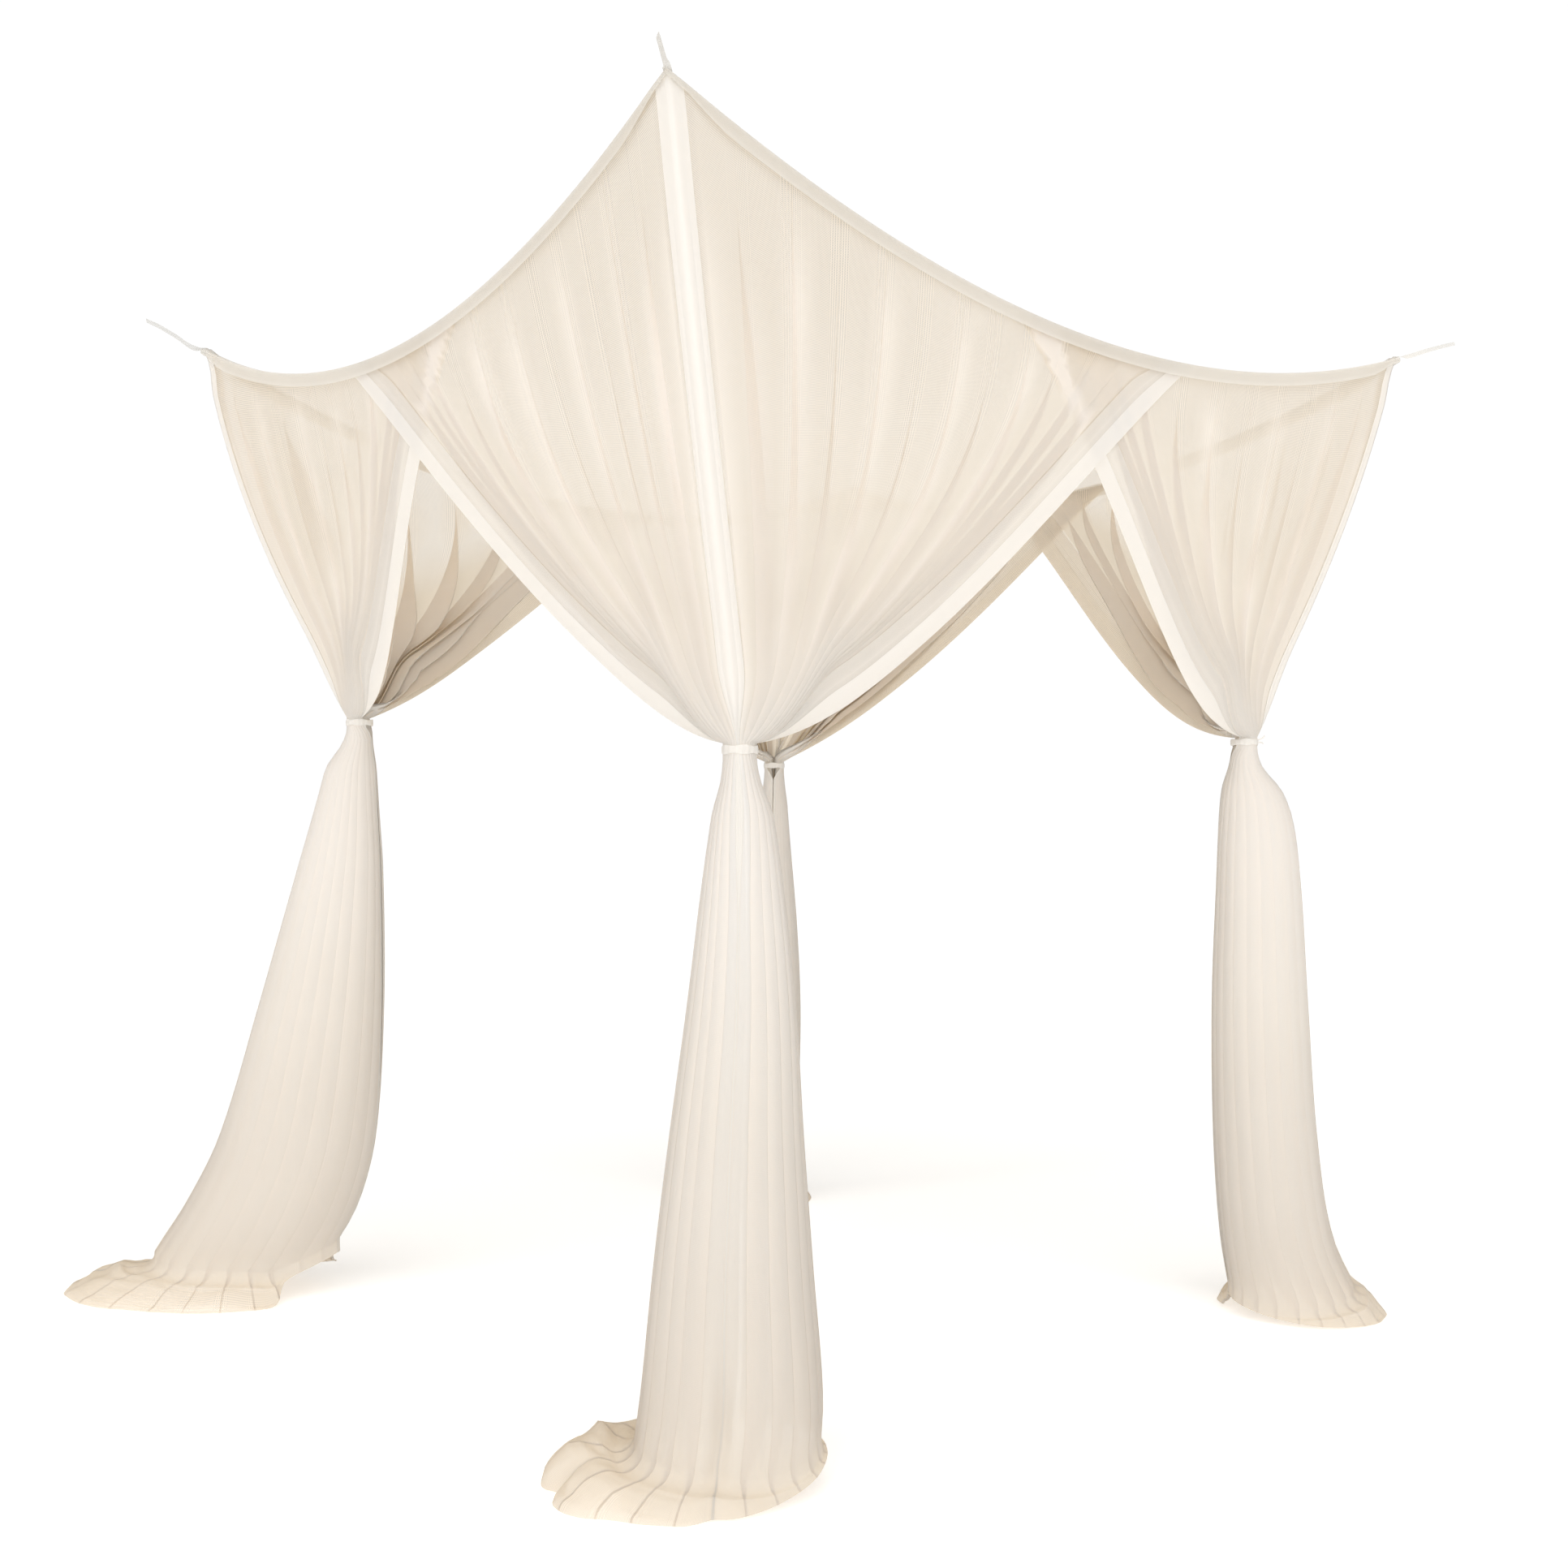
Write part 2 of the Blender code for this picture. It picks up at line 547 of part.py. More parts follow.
def make_tape(side):
    """The tape round the roof: it hangs outside the curtains and folds in over the roof."""
    own = OwnSide(side, side.start)
    outside = LAP + NET * 0.5 + SEAM + BAND + TAPE_EASE
    web = TAPE_SEAT
    profile = (
        (-outside - TAPE, web + TAPE), (-outside - TAPE, -TAPE_DROP), (-outside, -TAPE_DROP),
        (-outside, web), (TAPE_OVER, web), (TAPE_OVER, web + TAPE),
    )
    rings = []
    for step in range(SIDE_STEPS + 1):
        distance = own.length * step / SIDE_STEPS
        ring = []
        for shift, lift in profile:
            edge = own.top(distance)
            point = Vector((distance, edge.y + shift, edge.z + lift))
            if step == 0:
                point.x = point.y + SEAM
            if step == SIDE_STEPS:
                point.x = own.length - point.y - SEAM
            ring.append(own.world(point))
        rings.append(ring)
    ring_solid("tape_" + side.name, rings, ((0, 1, 2, 3), (0, 3, 4, 5)), BAND_CLOTH)


def make_roof():
    """The roof: a net hung from its four sagging edges."""
    near_right = OwnSide(SIDE["near_right"], "near")
    near_left = OwnSide(SIDE["near_left"], "near")
    far_left = OwnSide(SIDE["far_left"], "left")
    far_right = OwnSide(SIDE["far_right"], "right")
    inset = LAP + NET * 0.5 + SEAM * 2.0

    def edge(own, share):
        point = own.top(mix(inset, own.length - inset, share))
        lift = TAPE_SEAT - SEAM * 2.0 - NET * 0.5
        return own.world(Vector((point.x, point.y + inset, point.z + lift)))

    lines = []
    for i in range(SIDE_STEPS + 1):
        s = i / SIDE_STEPS
        line = []
        for j in range(SIDE_STEPS + 1):
            t = j / SIDE_STEPS
            point = edge(near_right, s).lerp(edge(far_left, s), t)
            point += edge(near_left, t).lerp(edge(far_right, t), s)
            low = edge(near_right, 0.0).lerp(edge(near_right, 1.0), s)
            high = edge(far_left, 0.0).lerp(edge(far_left, 1.0), s)
            point -= low.lerp(high, t)
            point.z += ROOF_LIFT * 16.0 * s * (1.0 - s) * t * (1.0 - t)
            line.append(point)
        lines.append(line)
    normals = [[Vector((0.0, 0.0, 1.0)) for point in line] for line in lines]
    sheet_solid("roof_panel", lines, normals, 0.0, NET, NET_CLOTH)


def draw_tail(bm, face, middle, lean):
    """Draw a tie's free end out of one of its faces."""
    spoke = face.calc_center_median() - middle
    spoke = Vector((spoke.x, spoke.y, 0.0)).normalized()
    aside = Vector((-spoke.y, spoke.x, 0.0)) * lean
    for step in TAIL_STEPS:
        face = bmesh.ops.extrude_discrete_faces(bm, faces=[face])["faces"][0]
        centre = face.calc_center_median()
        shift = spoke * step.out + aside + Vector((0.0, 0.0, step.rise))
        for vert in face.verts:
            vert.co = centre + (vert.co - centre) * step.narrow + shift


def make_tie(corner):
    """The tie round a neck, a flat band, with the free ends that its table names."""
    middle = neck_place(corner)
    out = Vector((corner.along_x, corner.along_y, 0.0)).normalized()
    turn = Vector((-out.y, out.x, 0.0))
    clear = NECK_RADIUS + NET * 0.5 + SEAM + BAND + SEAM
    inner = clear / math.cos(math.pi / TIE_SIDES) + SEAM
    outer = inner + TIE
    bm = bmesh.new()
    loops = []
    for radius, lift in ((inner, -TIE_HALF), (outer, -TIE_HALF), (outer, TIE_HALF), (inner, TIE_HALF)):
        loop = []
        for k in range(TIE_SIDES):
            angle = 2.0 * math.pi * k / TIE_SIDES
            spoke = out * math.cos(angle) + turn * math.sin(angle)
            loop.append(bm.verts.new(middle + spoke * radius + Vector((0.0, 0.0, lift))))
        loops.append(loop)
    walls = []
    for a, b in zip(loops, loops[1:] + loops[:1]):
        for k in range(TIE_SIDES):
            after = (k + 1) % TIE_SIDES
            walls.append(bm.faces.new((a[k], a[after], b[after], b[k])))
    outer_walls = walls[TIE_SIDES:2 * TIE_SIDES]
    for tail in TIE_TAILS.get(corner.name, ()):
        draw_tail(bm, outer_walls[tail.face], middle, tail.lean)
    add_object("tie_" + corner.name, bm, BAND_CLOTH)


def make_ribbon(corner):
    """A hanging ribbon, sewn flat over the corner and pulled out and up to its hook."""
    start = corner_place(corner)
    out = Vector((corner.along_x, corner.along_y, 0.0)).normalized()
    turn = Vector((-out.y, out.x, 0.0))
    seat = TAPE_SEAT + TAPE + SEAM + RIBBON * 0.5
    first = Bend(-RIBBON_SEWN / corner.ribbon, 0.0, 1.0)
    lines = [[], []]
    for bend in (first,) + RIBBON_BENDS:
        distance = corner.ribbon * bend.along
        rise = seat + max(distance, 0.0) * corner.pull * bend.pull
        centre = start + out * distance + Vector((0.0, 0.0, rise))
        lines[0].append(centre - turn * RIBBON_WIDTH * 0.5 * bend.narrow)
        lines[1].append(centre + turn * RIBBON_WIDTH * 0.5 * bend.narrow)
    normals = [[Vector((0.0, 0.0, 1.0)) for point in line] for line in lines]
    sheet_solid("ribbon_" + corner.name, lines, normals, 0.0, RIBBON, BAND_CLOTH)


def clear_scene():
    for obj in list(bpy.data.objects):
        bpy.data.objects.remove(obj, do_unlink=True)


def main():
    clear_scene()
    make_roof()
    for side in SIDES:
        make_tape(side)
    for corner in CORNERS:
        make_curtain(corner)
        make_tie(corner)
        make_ribbon(corner)


main()
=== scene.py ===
"""Looks of a four-corner mosquito net canopy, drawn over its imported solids.

Every curtain is one sheet of sheer net. Its smooth form is the same as its solid's, and its spare
width is folded into pleats: the cloth between two pleats lies on the smooth form, and each pleat
is a flap that goes in behind it and lies over to the side. The bands, the tapes, the ties and
the ribbons are strips of a denser cloth that follow the same forms.
Units are metres unless a table says otherwise. X runs along the long sides, Y along the short
ones, and the floor is Z = 0.
"""
import math
from bisect import bisect_right
from collections import namedtuple

import bmesh
import bpy
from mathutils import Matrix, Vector, noise


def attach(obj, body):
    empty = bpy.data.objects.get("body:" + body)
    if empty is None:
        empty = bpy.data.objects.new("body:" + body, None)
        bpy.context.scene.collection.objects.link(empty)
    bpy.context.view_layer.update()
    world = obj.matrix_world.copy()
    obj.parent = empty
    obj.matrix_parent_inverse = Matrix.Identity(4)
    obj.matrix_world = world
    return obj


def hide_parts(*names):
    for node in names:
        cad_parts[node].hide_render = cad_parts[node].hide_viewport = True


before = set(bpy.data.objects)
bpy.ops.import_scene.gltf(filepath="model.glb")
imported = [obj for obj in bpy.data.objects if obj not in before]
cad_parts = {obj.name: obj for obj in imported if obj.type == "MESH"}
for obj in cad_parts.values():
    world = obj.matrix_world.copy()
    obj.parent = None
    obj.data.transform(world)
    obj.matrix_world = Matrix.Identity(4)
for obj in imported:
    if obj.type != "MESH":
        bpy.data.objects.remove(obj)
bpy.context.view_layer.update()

# ---- sizes of the smooth form, the same as in the part's own source ----
HALF_LONG = 1.04            # half the distance between hooks along X
HALF_SHORT = 0.91           # half the distance between hooks along Y
HOOK_HEIGHT = 2.17
ROOF_MIDDLE = Vector((0.071, -0.114, 0.0))     # plan place of the roof's middle
SPREAD_ANGLE = math.radians(-40.6)   # plan direction of the wide axis of the columns
NET = 0.0012                # thickness of the solids' net panels
SEAM = 0.0003
LAP = 0.0020                # a curtain lies this far outside or inside the lap's middle
EDGE_BAND = 0.075           # width of the band down each free edge
EDGE_TOP = EDGE_BAND * 1.25         # and along the top edge, which it meets at a slant
CORNER_BAND = 0.028         # half width of the band down each corner
TAPE_DROP = 0.026           # the roof tape hangs this far down outside the curtains
TAPE_TAPER = 0.12           # it narrows over this length at either end
TAPE_NARROW = 0.30          # to this share of its drop
TAPE_OVER = 0.012           # and reaches this far in over the roof
TAPE_OUT = 0.0056           # it lies this far outside the roof's edge
TAPE_LIFT = 0.0016          # and this far above it
TAPE_EDGE = TAPE_LIFT - 0.0015      # where it starts to turn over
ROOF_LIFT = 0.14            # the roof's middle hangs this much higher than its edges alone give
ROOF_RIPPLE = 0.012
ROOF_INSET = LAP + NET * 0.5 + SEAM * 2.0
NECK_RADIUS = 0.0285        # gathered cloth under a tie
NECK_HALF = 0.012           # half height of the straight part of a neck
NECK_WRAP = math.radians(122)   # the gathered cloth wraps this far either way from the corner
COLUMN_WRAP = math.radians(178.5)   # the free edges nearly meet behind a column
POOL_TURN = 150.0           # the ends of the pool tables, in degrees
FLOOR_BEND = 0.030          # a column turns out onto the floor from this height
PILE_VALLEY = 0.62          # piled cloth is this much lower where it meets its column
TIE_HALF = 0.007            # half height of a tie
TIE_RADIUS = 0.0306
TIE_PUCKER = 0.0003
TIE_ROLL = 0.0008           # a tie's edges roll in by this much
TIE_LENGTH = 0.25
TIE_END_WIDTH = 0.005
TIE_END_TUCK = 0.001        # a tie's free end starts this far inside the tie
TIE_END_CURL = 0.002        # and its edges turn aside by this much
TIE_LEVELS = (-1.0, -0.85, -0.5, 0.0, 0.5, 0.85, 1.0)      # a tie's lines, in its half height
RIBBON_WIDTH = 0.013
RIBBON_LIFT = 0.0031
RIBBON_CUP = 0.0006         # a ribbon's middle stands up by this much
RIBBON_TWIST = math.radians(68)     # past its corner a ribbon turns up on its edge
RIBBON_SEWN = 0.010         # this much of a ribbon is sewn down over its corner

# ---- tables of the smooth form, measured in plan from the roof's middle ----
PERCENT = (100, 100, 100)
MILLIMETRES = (1000, 1000, 1000, 1000, 1000)
POOL_UNITS = (1, 1000, 1000, 1000, 10)


def table(kind, parts, rows):
    """Rows with named columns, from whole numbers of these parts of a unit."""
    return tuple(kind(*(value / part for value, part in zip(row, parts))) for row in rows)


# A corner: which way it lies, how far its hook is off the hook height, where its curtain is
# tied, how far its corner line bulges out, whether it laps outside (+1) or inside (-1), how
# long its ribbon is and how steeply the ribbon is pulled up.
Corner = namedtuple("Corner", "name along_x along_y rise neck_x neck_y neck_z bulge lap ribbon pull")
CORNERS = (
    Corner("near", -1, -1, -0.012, -0.710, -0.667, 1.211, 0.030, 1, 0.085, 0.05),
    Corner("right", 1, -1, -0.010, 0.775, -0.672, 1.274, 0.036, -1, 0.130, 0.22),
    Corner("far", 1, 1, -0.004, 0.580, 0.771, 1.256, 0.030, 1, 0.120, 0.25),
    Corner("left", -1, 1, 0.019, -0.755, 0.682, 1.321, 0.056, -1, 0.140, 0.50),
)
# A side: its two corners, and how far its top edge sags and bows in at the middle.
Side = namedtuple("Side", "name start end sag bow")
SIDES = (
    Side("near_right", "near", "right", 0.175, 0.024),
    Side("far_right", "right", "far", 0.191, 0.120),
    Side("far_left", "left", "far", 0.230, 0.059),
    Side("near_left", "near", "left", 0.198, 0.024),
)
# A half curtain: the side it hangs on, the share of that side it covers, the droop of its
# free edge, and its pleats. A pleat, in percent: its place across the net from the free edge to
# the corner, the share of the spare width that it takes up, and how far down the fan it starts.
Half = namedtuple("Half", "side reach droop pleats")
Pleat = namedtuple("Pleat", "place depth start")
HALVES = {
    "near": (
        Half("near_left", 0.600, 0.100, (
            (8, 80, 18), (15, 75, 12), (22, 100, 2), (31, 70, 23), (40, 110, 1), (53, 100, 3),
            (61, 70, 20), (69, 115, 0), (77, 75, 22), (84, 95, 0), (93, 105, 6),
        )),
        Half("near_right", 0.625, 0.095, (
            (8, 80, 19), (17, 80, 13), (26, 75, 18), (33, 100, 5), (41, 75, 23), (48, 100, 2),
            (56, 75, 22), (64, 105, 1), (73, 80, 18), (82, 115, 0), (92, 95, 10),
        )),
    ),
    "right": (
        Half("near_right", 0.630, 0.088, (
            (8, 80, 18), (16, 85, 12), (25, 90, 8), (35, 85, 18), (46, 100, 3), (56, 75, 18),
            (66, 105, 2), (75, 75, 18), (84, 100, 1), (93, 95, 7),
        )),
        Half("far_right", 0.600, 0.092, (
            (9, 80, 18), (19, 85, 13), (30, 100, 4), (41, 85, 16), (52, 100, 3), (65, 95, 12),
            (78, 110, 1), (91, 105, 7),
        )),
    ),
    "far": (
        Half("far_right", 0.600, 0.048, (
            (7, 80, 18), (15, 85, 13), (22, 75, 16), (30, 100, 4), (40, 85, 16), (50, 100, 3),
            (60, 85, 12), (70, 85, 12), (80, 105, 1), (92, 90, 7),
        )),
        Half("far_left", 0.600, 0.080, (
            (7, 80, 18), (15, 85, 13), (24, 80, 14), (33, 100, 4), (43, 85, 16), (53, 100, 3),
            (62, 85, 12), (71, 85, 12), (81, 105, 1), (92, 90, 7),
        )),
    ),
    "left": (
        Half("far_left", 0.600, 0.040, (
            (8, 80, 18), (15, 85, 14), (24, 100, 4), (36, 85, 17), (48, 100, 3), (60, 95, 12),
            (74, 105, 1), (87, 105, 5),
        )),
        Half("near_left", 0.650, 0.068, (
            (8, 80, 18), (17, 85, 14), (28, 100, 4), (36, 80, 17), (44, 95, 3), (52, 80, 16),
            (60, 105, 2), (70, 85, 12), (80, 105, 1), (91, 100, 6),
        )),
    ),
}
# A column's cross-section, in millimetres: its height, how far its middle has moved from the
# neck along the wide axis and the deep axis, and its half widths along those axes.
Section = namedtuple("Section", "height wide_shift deep_shift wide deep")
COLUMNS = {
    "near": table(Section, MILLIMETRES, (
        (1160, 4, 0, 43, 36), (1000, 5, 0, 66, 52), (785, 4, 2, 90, 70), (569, -4, 4, 110, 84),
        (354, -10, 8, 131, 96), (139, -14, 12, 151, 104), (30, -26, 12, 156, 108),
    )),
    "right": table(Section, MILLIMETRES, (
        (1225, 4, 0, 48, 40), (1115, 22, -4, 80, 58), (967, 26, -12, 94, 70),
        (673, 22, -28, 107, 84), (383, 26, -44, 114, 94), (167, 45, -55, 122, 102),
        (30, 85, -64, 142, 112),
    )),
    "far": table(Section, MILLIMETRES, (
        (1180, 0, 0, 36, 34), (1050, -2, -6, 48, 44), (791, -6, -20, 74, 62),
        (556, -16, -32, 94, 76), (300, -40, -46, 112, 90), (30, -72, -56, 136, 106),
    )),
    "left": table(Section, MILLIMETRES, (
        (1266, -14, 0, 50, 40), (1115, -30, 4, 74, 56), (965, -48, 10, 100, 70),
        (662, -92, 22, 146, 94), (359, -150, 36, 184, 112), (208, -208, 42, 202, 118),
        (100, -275, 54, 206, 108), (30, -325, 60, 196, 104),
    )),
}
# The cloth on the floor, by its place round the column from the left free edge (-150 degrees)
# past the corner (0) to the right one. In millimetres: how far it runs out, how high its hem ends
# above the floor, and how high it is piled up against the column. In tenths: how puffed the pile
# is, where 0 slopes straight down to the floor, and 1 stands up from a valley and ends round.
Pool = namedtuple("Pool", "angle reach hem pile puff")
POOLS = {
    "near": table(Pool, POOL_UNITS, (
        (-150, 30, 0, 10, 0), (-125, 75, 0, 50, 6), (-100, 132, 0, 80, 10), (-80, 152, 0, 85, 10),
        (-66, 150, 0, 78, 10), (-59, 116, 0, 70, 9), (-52, 142, 0, 62, 8), (-38, 124, 0, 52, 6),
        (-31, 98, 0, 48, 5), (-8, 60, 0, 36, 2), (25, 26, 10, 14, 0), (70, 12, 45, 2, 0),
        (110, 8, 60, 0, 0), (150, 8, 60, 0, 0),
    )),
    "right": table(Pool, POOL_UNITS, (
        (-150, 2, 40, 0, 0), (-90, 8, 10, 4, 0), (-30, 50, 0, 30, 0), (0, 80, 0, 55, 0),
        (20, 102, 0, 78, 1), (36, 130, 0, 90, 2), (52, 102, 0, 88, 2), (75, 70, 0, 70, 1),
        (100, 50, 0, 45, 0), (150, 15, 10, 6, 0),
    )),
    "far": table(Pool, POOL_UNITS, (
        (-150, 12, 0, 0, 0), (-80, 30, 0, 20, 0), (-20, 90, 0, 40, 3), (40, 90, 0, 40, 3),
        (100, 50, 0, 25, 0), (150, 15, 0, 0, 0),
    )),
    "left": table(Pool, POOL_UNITS, (
        (-150, 10, 70, 0, 0), (-100, 20, 30, 4, 0), (-55, 100, 0, 30, 0), (-22, 180, 0, 60, 3),
        (4, 208, 0, 72, 4), (28, 170, 0, 66, 3), (60, 90, 0, 52, 2), (90, 66, 0, 46, 2),
        (104, 56, 4, 34, 1), (112, 12, 40, 4, 0), (130, 2, 70, 0, 0), (150, 2, 95, 0, 0),
    )),
}
# A tie's free end: which way it points in degrees, how high it leaves the tie, how much it
# rises, and how far it stands out.
TieEnd = namedtuple("TieEnd", "corner angle lift rise reach")
TIE_ENDS = (
    TieEnd("right", -44, 0.006, 0.009, 0.017), TieEnd("right", -36, 0.001, -0.003, 0.016),
)
# The roof tape's lines, up its outside and in over the roof: how far in from the roof's edge and
# how far above it they lie, their places across the flat tape, and how strongly each is whitened
# with the painted highlight colour.
TapeLine = namedtuple("TapeLine", "shift lift flat white")
TAPE_LINES = (
    TapeLine(-TAPE_OUT, -TAPE_DROP, 0.0, 0.30), TapeLine(-TAPE_OUT, -TAPE_DROP * 0.66, 0.0086, 0.05),
    TapeLine(-TAPE_OUT, -TAPE_DROP * 0.33, 0.0172, 0.05), TapeLine(-TAPE_OUT, TAPE_EDGE, 0.026, 0.30),
    TapeLine(-TAPE_OUT + 0.0012, TAPE_LIFT, 0.028, 0.50), TapeLine(TAPE_OVER * 0.5, TAPE_LIFT, 0.033, 0.15),
    TapeLine(TAPE_OVER, TAPE_LIFT, 0.039, 0.10),
)
# A ribbon's bends: share of its length, share of its full pull, and share of its full width.
Bend = namedtuple("Bend", "along pull narrow")
RIBBON_BENDS = (
    Bend(0.03, 0.0, 1.0), Bend(0.13, 0.1, 1.0), Bend(0.40, 0.8, 0.9), Bend(0.70, 1.0, 0.85),
    Bend(1.00, 1.0, 0.75),
)
# Shares of a half curtain's width, from its free edge: the edge band, then the net, then the
# corner band, and the shares of the way round a gathered column that the two bands take.
BAND_SHARE = 0.12
CORNER_SHARE = 0.90
BAND_GATHER = 0.07
CORNER_GATHER = 0.045
BAND_CLOSED = 0.020
CORNER_CLOSED = 0.004

# ---- how finely the looks are drawn ----
FAN_STEPS = 46
COLUMN_STEPS = 42
BEND_STEPS = 6
POOL_STEPS = 22
FLAP = (0.0, 0.35, 0.70, 0.95)      # places down a pleat's flap, on both its walls
BAND_FLAP = (0.0, 0.60)
OUTER_STEPS = 5                     # steps of the cloth between two pleats
ROOF_STEPS = 72
SIDE_STEPS = 60
TIE_STEPS = 144
TIE_END_STEPS = 6
RIBBON_STEPS = 24

# ---- pleats ----
PLEAT_GAP = 0.0003                  # a pleat's opening
FAN_LEAN = math.radians(70)         # how far a flap lies over from straight in
GATHERED_LEAN = math.radians(60)
POOL_LEAN = math.radians(80)
FAN_DEPTH = 0.075                   # the deepest flaps
NECK_DEPTH = 0.034
BEND_DEPTH = 0.015
POOL_DEPTH = 0.004
PLEAT_SPARE = 1.12                  # a flap is this much deeper than its half of the spare cloth
FLAP_REACH = 0.28                   # the share of a pleat's flat cloth that is in either wall
LAP_DEPTH = 0.0012                  # flaps lie this flat where two curtains lap
WALL_GAP = 0.0004                   # a flap's two walls lie this far apart

# ---- cloth: the marks of gathering and of the painted highlight, from 0 to 1 ----
GATHERED_DENSE = 0.95       # how much the fully gathered net closes its holes
CORNER_GLOW = 0.08          # the net beside a corner band gets the painted highlight over this share
# how strongly that net is painted whiter
GLOW_HIGHLIGHT = 0.9
COLUMN_HIGHLIGHT = 0.7          # how strongly a column is painted whiter under its tie, a painted highlight
# The tie is whitened by this much, a painted highlight.
TIE_HIGHLIGHT = 0.6
# A band is denser along its turned-in edge, which also gets a painted highlight; these whites set both.
BAND_TURNED = 0.046         # a band's turned-in edge is this wide,
BAND_WHITE = 0.80           # this white,
BAND_SOFT = 0.12            # and the rest of the band this white
BAND_DENSE = 0.9            # how gathered a band counts as
BAND_PRESSED = 0.6          # how gathered the net is where a column closes over the bands
BAND_BLUR = 0.006           # the edges of the painted highlight where a band laps behind the net are this soft
BAND_LIFT = 0.0008          # a band lies this far outside the net
GATHERED_LIFT = 0.0004      # and this far where it is gathered
# The cloth's tone by height, painted shade and painted highlight: darkest on the floor as a painted shade,
# whitest at the gathers under the ties as a painted highlight.
Fade = namedtuple("Fade", "height red green blue")
NET_PAINTED_LIGHT_BY_HEIGHT = (
    Fade(0.00, 0.765, 0.742, 0.715), Fade(0.25, 0.850, 0.830, 0.806), Fade(0.65, 0.950, 0.940, 0.925),
    Fade(1.05, 1.000, 1.000, 1.000), Fade(1.22, 1.000, 1.000, 1.000), Fade(1.45, 0.900, 0.888, 0.868),
    Fade(2.00, 0.905, 0.895, 0.880), Fade(2.30, 0.960, 0.960, 0.955),
)
# The bands take the same painted shade up to the ties.
BAND_PAINTED_LIGHT_BY_HEIGHT = NET_PAINTED_LIGHT_BY_HEIGHT[:4]
TAPE_FADES = (
    Fade(0.00, 0.900, 0.895, 0.890), Fade(2.16, 0.930, 0.930, 0.930), Fade(2.19, 0.800, 0.820, 0.850),
    Fade(2.30, 0.800, 0.820, 0.850),
)
# A cloth: its tones by height (for the net and the bands a painted shade and painted highlight),
# its two mottled colours, its painted highlight colour, the colour and the share of the light that
# it lets through, how much of a hole and of a thread is covered, how far apart its threads are, and
# how rough it is.
Cloth = namedtuple("Cloth", "fades colour shade crease warm through hole thread pitch roughness")
CLOTHS = {
    "net": Cloth(
        NET_PAINTED_LIGHT_BY_HEIGHT, (0.940, 0.930, 0.900), (0.920, 0.905, 0.870), (0.970, 0.955, 0.930),
        (0.92, 0.71, 0.42), 0.30, 0.40, 0.80, 0.0021, 0.90,
    ),
    "band": Cloth(
        BAND_PAINTED_LIGHT_BY_HEIGHT, (0.885, 0.868, 0.838), (0.870, 0.853, 0.820), (0.965, 0.960, 0.945),
        (0.92, 0.80, 0.62), 0.24, 0.56, 0.88, 0.0012, 0.80,
    ),
    "tape": Cloth(
        TAPE_FADES, (0.825, 0.810, 0.775), (0.815, 0.800, 0.765), (0.930, 0.920, 0.895),
        (0.92, 0.82, 0.66), 0.24, 0.56, 0.88, 0.0012, 0.80,
    ),
}
HOLE_EDGE = (0.45, 0.90)    # a hole gives way to a thread between these heights of the weave
GATHER_EDGE = (0.10, 0.46)  # the holes close between these marks of gathering
CREASE_COVER = 0.97         # how much of a crease is covered
MOTTLE_SCALE = 3.2
MOTTLE_EDGE = (0.30, 0.70)
SHEEN = 0.1
THREAD_RELIEF = 0.0006

# ---- studio ----
CAMERA_PLACE = (-2.2331, -2.7556, 1.0915)
CAMERA_TURN = 49.4261
CAMERA_RISE = 1.4234
SENSOR = 36.0
FOCAL_LENGTH = SENSOR * 1877.6 / 1932.0
FILL_COLOUR = (1.0, 0.93, 0.82, 1.0)
FILL_STRENGTH = 0.22
KEY_COLOUR = (1.0, 0.995, 0.985)
KEY_STRENGTH = 3.35
KEY_TURN = 49.4 - 4.0       # the key comes from a little to the camera's left
KEY_RISE = 26.0             # and from this many degrees above
KEY_SPREAD = 110
WHITE = (1.0, 1.0, 1.0, 1.0)
BACKGROUND_STRENGTH = 1.02
FLOOR_REACH = 30.0
FLOOR_LEVEL = -0.002
# The floor glows a little, so that it looks nearly as white as what is behind it.
FLOOR_LOOK = {
    "Base Color": (0.95, 0.95, 0.95, 1.0), "Roughness": 0.9,
    "Emission Color": WHITE, "Emission Strength": 0.46,
}

# ---- cut sizes of the flat cloth: width and length ----
FLAT_DROP = 2.40
EDGE_CUT = (EDGE_BAND, 2.45)
CORNER_CUT = (CORNER_BAND * 2.0, 2.40)

CORNER = {corner.name: corner for corner in CORNERS}
SIDE = {side.name: side for side in SIDES}
WIDE = Vector((math.cos(SPREAD_ANGLE), math.sin(SPREAD_ANGLE), 0.0))
DEEP = Vector((-math.sin(SPREAD_ANGLE), math.cos(SPREAD_ANGLE), 0.0))
UP = Vector((0.0, 0.0, 1.0))


# ---- small helpers ----
def mix(a, b, share):
    return a + (b - a) * share


def smooth(low, high, value):
    """A soft step from 0 at low to 1 at high, which may lie either way round."""
    share = min(max((value - low) / (high - low), 0.0), 1.0)
    return share * share * (3.0 - 2.0 * share)


def grid_normals(lines):
    """The normal at every point of a grid, from the points round it."""
    last, end = len(lines) - 1, len(lines[0]) - 1
    normals = []
    for i, line in enumerate(lines):
        row = []
        for j in range(end + 1):
            right = lines[min(i + 1, last)][j] - lines[max(i - 1, 0)][j]
            down = line[min(j + 1, end)] - line[max(j - 1, 0)]
            row.append(down.cross(right).normalized())
        normals.append(row)
    return normals


def slope(rows, key, index):
    """How each column of a table changes with its key at a row, from the rows on both sides."""
    before, after = rows[max(index - 1, 0)], rows[min(index + 1, len(rows) - 1)]
    run = getattr(after, key) - getattr(before, key)
    return [(b - a) / run for a, b in zip(before, after)]


